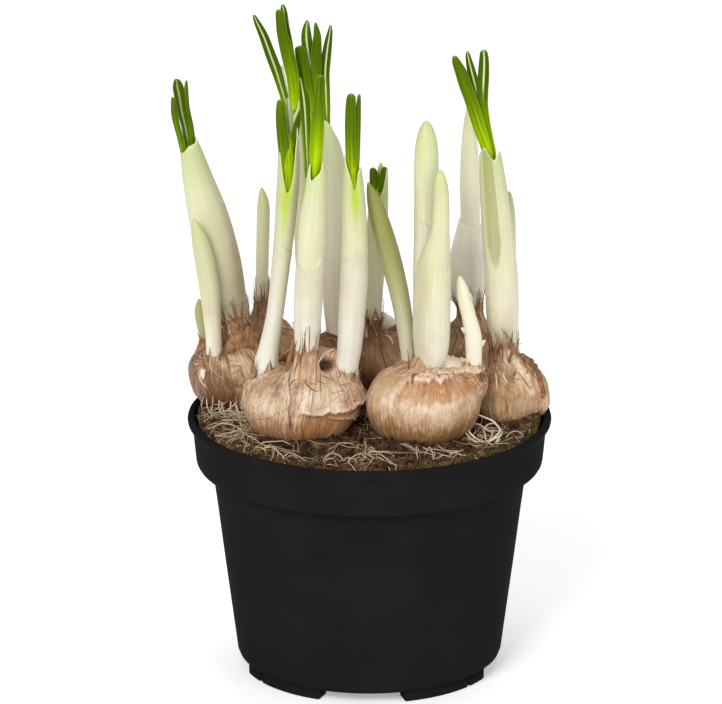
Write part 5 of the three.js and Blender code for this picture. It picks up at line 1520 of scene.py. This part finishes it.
for k, (name, shoot) in enumerate(shoots.items()):
    if "leaves" in shoot:
        parts = Parts()
        for j, leaf in enumerate(shoot["leaves"]):
            addLeaf(parts, shoot, leaf, 1.7 * k + j)
        addCore(parts, shoot)
        parts.make("blades_" + name, leafFinish, ["leaves_" + name])

print("stage: sprouts")

knobShape = [1.5, 1.35, 1.15, 1.0, 0.9, 0.75, 0.5, 0.2]

for k, (name, sprout) in enumerate(sprouts.items()):
    parts = Parts()
    addSheath(parts, sprout, 60 + k)
    for foot, out, radius in sprout.get("knobs", []):
        foot = np.array(foot, float)
        line = foot + (out - foot) * np.linspace(-0.8, 1, len(knobShape))[:, None]
        width = 2 * radius * np.array(knobShape)
        addTube(parts, line, width, width, (0, 0.2, 1), 14, sameMarks=(0.3, 0.02, 0))
    parts.make("skin_sprout_" + name, skinFinish, ["sprout_" + name])

print("stage: roots")

# each fan starts between its two ends and spreads between two directions
rootFans = {
    "left": {"ends": ((-38, 3), (-40, -21)), "from": 140, "to": 262, "count": 60, "reach": 22, "seed": 11,
        "corm": "left"},
    "front_left": {"ends": ((-41, -27), (-25, -38)), "from": 215, "to": 345, "count": 17, "reach": 16, "seed": 5},
    "front": {"ends": ((-3, -22), (-1, -36)), "from": 190, "to": 335, "count": 17, "reach": 19, "seed": 23},
    "front_right": {"ends": ((37, -13), (35, -27)), "from": 190, "to": 400, "count": 17, "reach": 19, "seed": 8,
        "curl": (0.22, -0.3, 0.34, 0.26)},
    "back": {"ends": ((-9, 36), (-4, 41)), "from": 20, "to": 200, "count": 16, "reach": 10, "seed": 31},
}
# shorter ones: two ends, the directions, how many, how long and how curled
rootStubs = [
    (((10, -32), (22, -33)), 230, 310, 16, 5.5, (0.1, -0.1, 0.3)),
    (((22, -38), (33, -34)), 150, 330, 12, 9, (0.3, -0.3, 0.2)),
    (((43, -30), (52, -17)), 150, 330, 13, 8, (0.35, -0.3, 0.2)),
    (((-12, -40), (2, -42)), 150, 380, 12, 9, (0.1, -0.2, 0.25)),
]
# roots that start up on a corm's side: the directions, how many, how long and from how high
cormRoots = [
    ("left", (205, 285), 26, 11, (1.5, 5)),
]
# whole loops: middle, half width, half depth, height and thickness
rootLoops = {
    "front_right": [(37.6, -20.5, 4.7, 4.6, 5, 0.66), (36, -22, 4, 3.4, 2.6, 0.55),
        (40.2, -21.5, 2.6, 5.6, 3.2, 0.5)],
}
looseRoots = {
    "count": 90, "within": 55, "reach": (4, 13), "width": (0.18, 0.4), "curl": (0, 0.12, -0.12, 0.25),
}
rootForm = {
    "thin": 0.26, "thick": 0.58, "step": 1.1, "bend": 0.05, "drift": 0.045, "edge": 56, "curl": (0, 0, 0.08, -0.08),
    "stubWidth": (0.3, 0.55), "cormRootWidth": (0.3, 0.6), "cormRootCurl": (0, 0.08, -0.08),
}


def underCorm(x, y):
    return any(math.hypot(x - c["at"][0], y - c["at"][1]) < 0.8 * c["radius"] for c in corms.values())


def between(ends, spread, draw):
    # a spot on the line between two ends, a little off it
    a, b = (np.array(end) for end in ends)
    return a + (b - a) * draw.random() + draw.normal(0, spread, 2)


def anywhere(within, draw):
    # a spot on the soil: how far from the middle, x and y
    radius = within * math.sqrt(draw.random())
    return radius, *(radius * compass(draw.uniform(0, fullTurn)))


def addRoot(parts, start, heading, reach, width, draw, loop=0.0, arch=0.0, drop=0.0):
    x, y = start
    bending = draw.normal(0, 0.05)
    points = []
    for k in range(max(6, int(reach / rootForm["step"])) + 1):
        if math.hypot(x, y) > rootForm["edge"] or (underCorm(x, y) and k > 3):
            break
        points.append((x, y))
        bending = 0.85 * bending + draw.normal(0, rootForm["drift"])
        heading += bending + loop + draw.normal(0, rootForm["bend"])
        x += rootForm["step"] * math.cos(heading)
        y += rootForm["step"] * math.sin(heading)
    if len(points) < 5:
        return
    flat = np.array(points)
    run = np.linspace(0, 1, len(flat))
    ground = soilTop(flat[:, 0], flat[:, 1])
    smooth = ground.copy()
    for _ in range(3):  # it lies over the crumbs
        smooth = np.maximum(ground - 0.2, (np.roll(smooth, 1) + smooth + np.roll(smooth, -1)) / 3)
    smooth[[0, -1]] = ground[[0, -1]]
    z = smooth + width * 0.4 + arch * np.sin(run * math.pi) + drop * np.maximum(0, 1 - run / 0.7) ** 1.3
    z[0] -= 0 if drop else 0.6
    z[-1] -= 0.2
    line, _ = smoothPath(np.column_stack([flat, z]), int(len(flat) * 1.6) + 2)
    taper = width * (1 - 0.55 * np.linspace(0, 1, len(line)))
    addTube(parts, line, taper, taper, (0, 0, 1), 5, draw.uniform(0.1, 1.0), draw.uniform(0.05, 0.8))


def addLoop(parts, loop, seed, draw):
    x, y, wide, deep, tall, width = loop
    t = np.linspace(-1.2, 5.6, 46)
    across, away = np.cos(t), np.sin(t)
    line = np.stack([x + wide * across * (1 + 0.05 * t), y + deep * away, 0.5 + tall * (1 + away) / 2], 1)
    line += 1.2 * np.stack([cloudAt(line, 0.2, seed + k, 2) for k in range(3)], 1)
    line[:, 2] += soilMean(line[:, 0], line[:, 1])
    addTube(parts, line, width, width, (0, 0.3, 1), 6, draw.uniform(0.5, 0.9), draw.uniform(0.4, 0.9))


def makeRoots():
    for name, bunch in rootFans.items():
        draw = np.random.default_rng(bunch["seed"])
        parts = Parts()
        for _ in range(bunch["count"]):
            heading = math.radians(draw.uniform(bunch["from"], bunch["to"]))
            start = between(bunch["ends"], 1.5, draw)
            addRoot(parts, start, heading, bunch["reach"] * draw.uniform(0.5, 1.4),
                    draw.uniform(rootForm["thin"], rootForm["thick"]), draw,
                    draw.choice(bunch.get("curl", rootForm["curl"])), draw.uniform(0, 2.6))
        for owner, turns, count, reach, drop in cormRoots:
            if bunch.get("corm") == owner:
                at, ring = np.array(corms[owner]["at"][:2]), corms[owner]["radius"]
                for _ in range(count):
                    turn = math.radians(draw.uniform(*turns))
                    addRoot(parts, at + 0.98 * ring * compass(turn), turn + draw.normal(0, 0.5),
                            reach * draw.uniform(0.6, 1.3), draw.uniform(*rootForm["cormRootWidth"]), draw,
                            draw.choice(rootForm["cormRootCurl"]), draw.uniform(0, 1), draw.uniform(*drop))
        for loop in rootLoops.get(name, []):
            addLoop(parts, loop, bunch["seed"], draw)
        parts.make("root_fan_" + name, rootFinish, ["roots_" + name])
    draw = np.random.default_rng(77)
    parts = Parts()
    for ends, low, high, count, reach, curl in rootStubs:
        for _ in range(count):
            start = between(ends, 0.6, draw)
            addRoot(parts, start, math.radians(draw.uniform(low, high)), reach * draw.uniform(0.6, 1.3),
                    draw.uniform(*rootForm["stubWidth"]), draw, draw.choice(curl), draw.uniform(0, 2))
    made = 0
    while made < looseRoots["count"]:
        _, x, y = anywhere(looseRoots["within"], draw)
        if underCorm(x, y) or (x > 12 and draw.random() < 0.6):
            continue
        addRoot(parts, (x, y), draw.uniform(0, fullTurn), draw.uniform(*looseRoots["reach"]),
                draw.uniform(*looseRoots["width"]), draw, draw.choice(looseRoots["curl"]), draw.uniform(0, 1.2))
        made += 1
    parts.make("loose_roots", rootFinish)


makeRoots()

print("stage: crumbs and moss")

crumbSet = {
    "lumps": 2500, "within": 56, "large": 0.07, "largeWithin": 53, "largeSize": (0.9, 1.7), "size": (0.3, 0.9),
    "fibres": 1100, "fibresWithin": 55.5, "fibreReach": (0.6, 2.2), "fibreWidth": (0.14, 0.3), "clear": 55.9,
}
mossSet = {
    "tufts": 1000, "edge": 56, "band": 4.5, "clear": 55.9, "size": (0.7, 2.0),
    "wide": (0.4, 0.34, 0.1), "flat": (0.2, 0.2, 0.1),
}


def ballShape():
    # points and triangles of a small round lump: a fine one cut from an icosahedron, and the icosahedron
    g = (1 + 5 ** 0.5) / 2
    corners = [(-1, g, 0), (1, g, 0), (-1, -g, 0), (1, -g, 0), (0, -1, g), (0, 1, g),
               (0, -1, -g), (0, 1, -g), (g, 0, -1), (g, 0, 1), (-g, 0, -1), (-g, 0, 1)]
    sheets = [(0, 11, 5), (0, 5, 1), (0, 1, 7), (0, 7, 10), (0, 10, 11), (1, 5, 9), (5, 11, 4),
              (11, 10, 2), (10, 7, 6), (7, 1, 8), (3, 9, 4), (3, 4, 2), (3, 2, 6), (3, 6, 8),
              (3, 8, 9), (4, 9, 5), (2, 4, 11), (6, 2, 10), (8, 6, 7), (9, 8, 1)]
    points = [unit(np.array(v, float)) for v in corners]
    middles, fine = {}, []

    def halfway(a, b):
        key = (min(a, b), max(a, b))
        if key not in middles:
            middles[key] = len(points)
            points.append(unit(points[a] + points[b]))
        return middles[key]

    for a, b, c in sheets:
        ab, bc, ca = halfway(a, b), halfway(b, c), halfway(c, a)
        fine += [(a, ab, ca), (b, bc, ab), (c, ca, bc), (ab, bc, ca)]
    return (np.array(points), np.array(fine)), (np.array(points[:len(corners)]), np.array(sheets))


def addLumps(parts, draw):
    ball, plain = ballShape()
    made = 0
    while made < crumbSet["lumps"]:
        radius, x, y = anywhere(crumbSet["within"], draw)
        if underCorm(x, y):
            continue
        large = draw.random() < crumbSet["large"] and radius < crumbSet["largeWithin"]
        size = draw.uniform(*crumbSet["largeSize" if large else "size"])
        corners, sheets = ball if large else plain
        stretch = size * draw.uniform(0.5, 1.3, 3)
        lump = corners * (1 + 0.5 * cloudAt(corners + made, 1.6, 5, 2))[:, None] * stretch
        marks = np.zeros((len(lump), 3))
        marks[:, 0] = 0.6 if radius > 46 and draw.random() < 0.4 else 0.0
        marks[:, 1] = max(0, draw.uniform(-0.6, 0.8))
        parts.add(lump + (x, y, float(soilTop(x, y)) + 0.15 * size), triangles=sheets, marks=marks)
        made += 1


def addPeatFibres(parts, draw):
    clear = crumbSet["clear"]
    made = 0
    while made < crumbSet["fibres"]:
        _, x, y = anywhere(crumbSet["fibresWithin"], draw)
        if underCorm(x, y):
            continue
        heading = draw.uniform(0, math.pi)
        reach = draw.uniform(*crumbSet["fibreReach"]) * compass(heading)
        ends = np.clip([(x, y) - reach, (x, y), (x, y) + reach], -clear, clear)
        if np.hypot(*ends.T).max() > crumbSet["within"]:
            continue
        line = np.column_stack([ends, soilTop(ends[:, 0], ends[:, 1]) + draw.uniform(0, 0.35, 3)])
        width = draw.uniform(*crumbSet["fibreWidth"])
        marks = draw.uniform(0, 0.3), max(0, draw.uniform(-1, 0.8)), 0
        addTube(parts, line, width, width, (0, 0, 1), 4, sameMarks=marks)
        made += 1


def makeCrumbs():
    draw = np.random.default_rng(19)
    parts = Parts()
    addLumps(parts, draw)
    addPeatFibres(parts, draw)
    parts.make("soil_crumbs", peatFinish)


def makeMoss():
    draw = np.random.default_rng(29)
    parts = Parts()
    wide, flat = np.array(mossSet["wide"]), np.array(mossSet["flat"])
    made = 0
    while made < mossSet["tufts"]:
        radius = mossSet["edge"] - abs(draw.normal(0, mossSet["band"]))
        x, y = radius * compass(draw.uniform(0, fullTurn))
        bare = cloudAt(np.array([[x, y, 0.0]]), 0.12, 71, 2)[0] < -0.1
        if radius > mossSet["clear"] or underCorm(x, y) or bare:
            continue
        heading = draw.uniform(0, fullTurn)
        size = draw.uniform(*mossSet["size"])
        lean = np.array([*compass(heading), draw.uniform(0.2, 1.3)]) * size
        foot = np.array([x, y, float(soilTop(x, y)) - 0.1])
        line = np.array([foot, foot + lean * 0.5 + (0, 0, 0.2), foot + lean])
        addTube(parts, line, wide, flat, (0.3, 0.2, 0.9), 4, draw.uniform(0, 0.9), draw.uniform(0.3, 1.0))
        made += 1
    parts.make("moss_tufts", mossFinish)


makeCrumbs()
makeMoss()

print("stage: done")
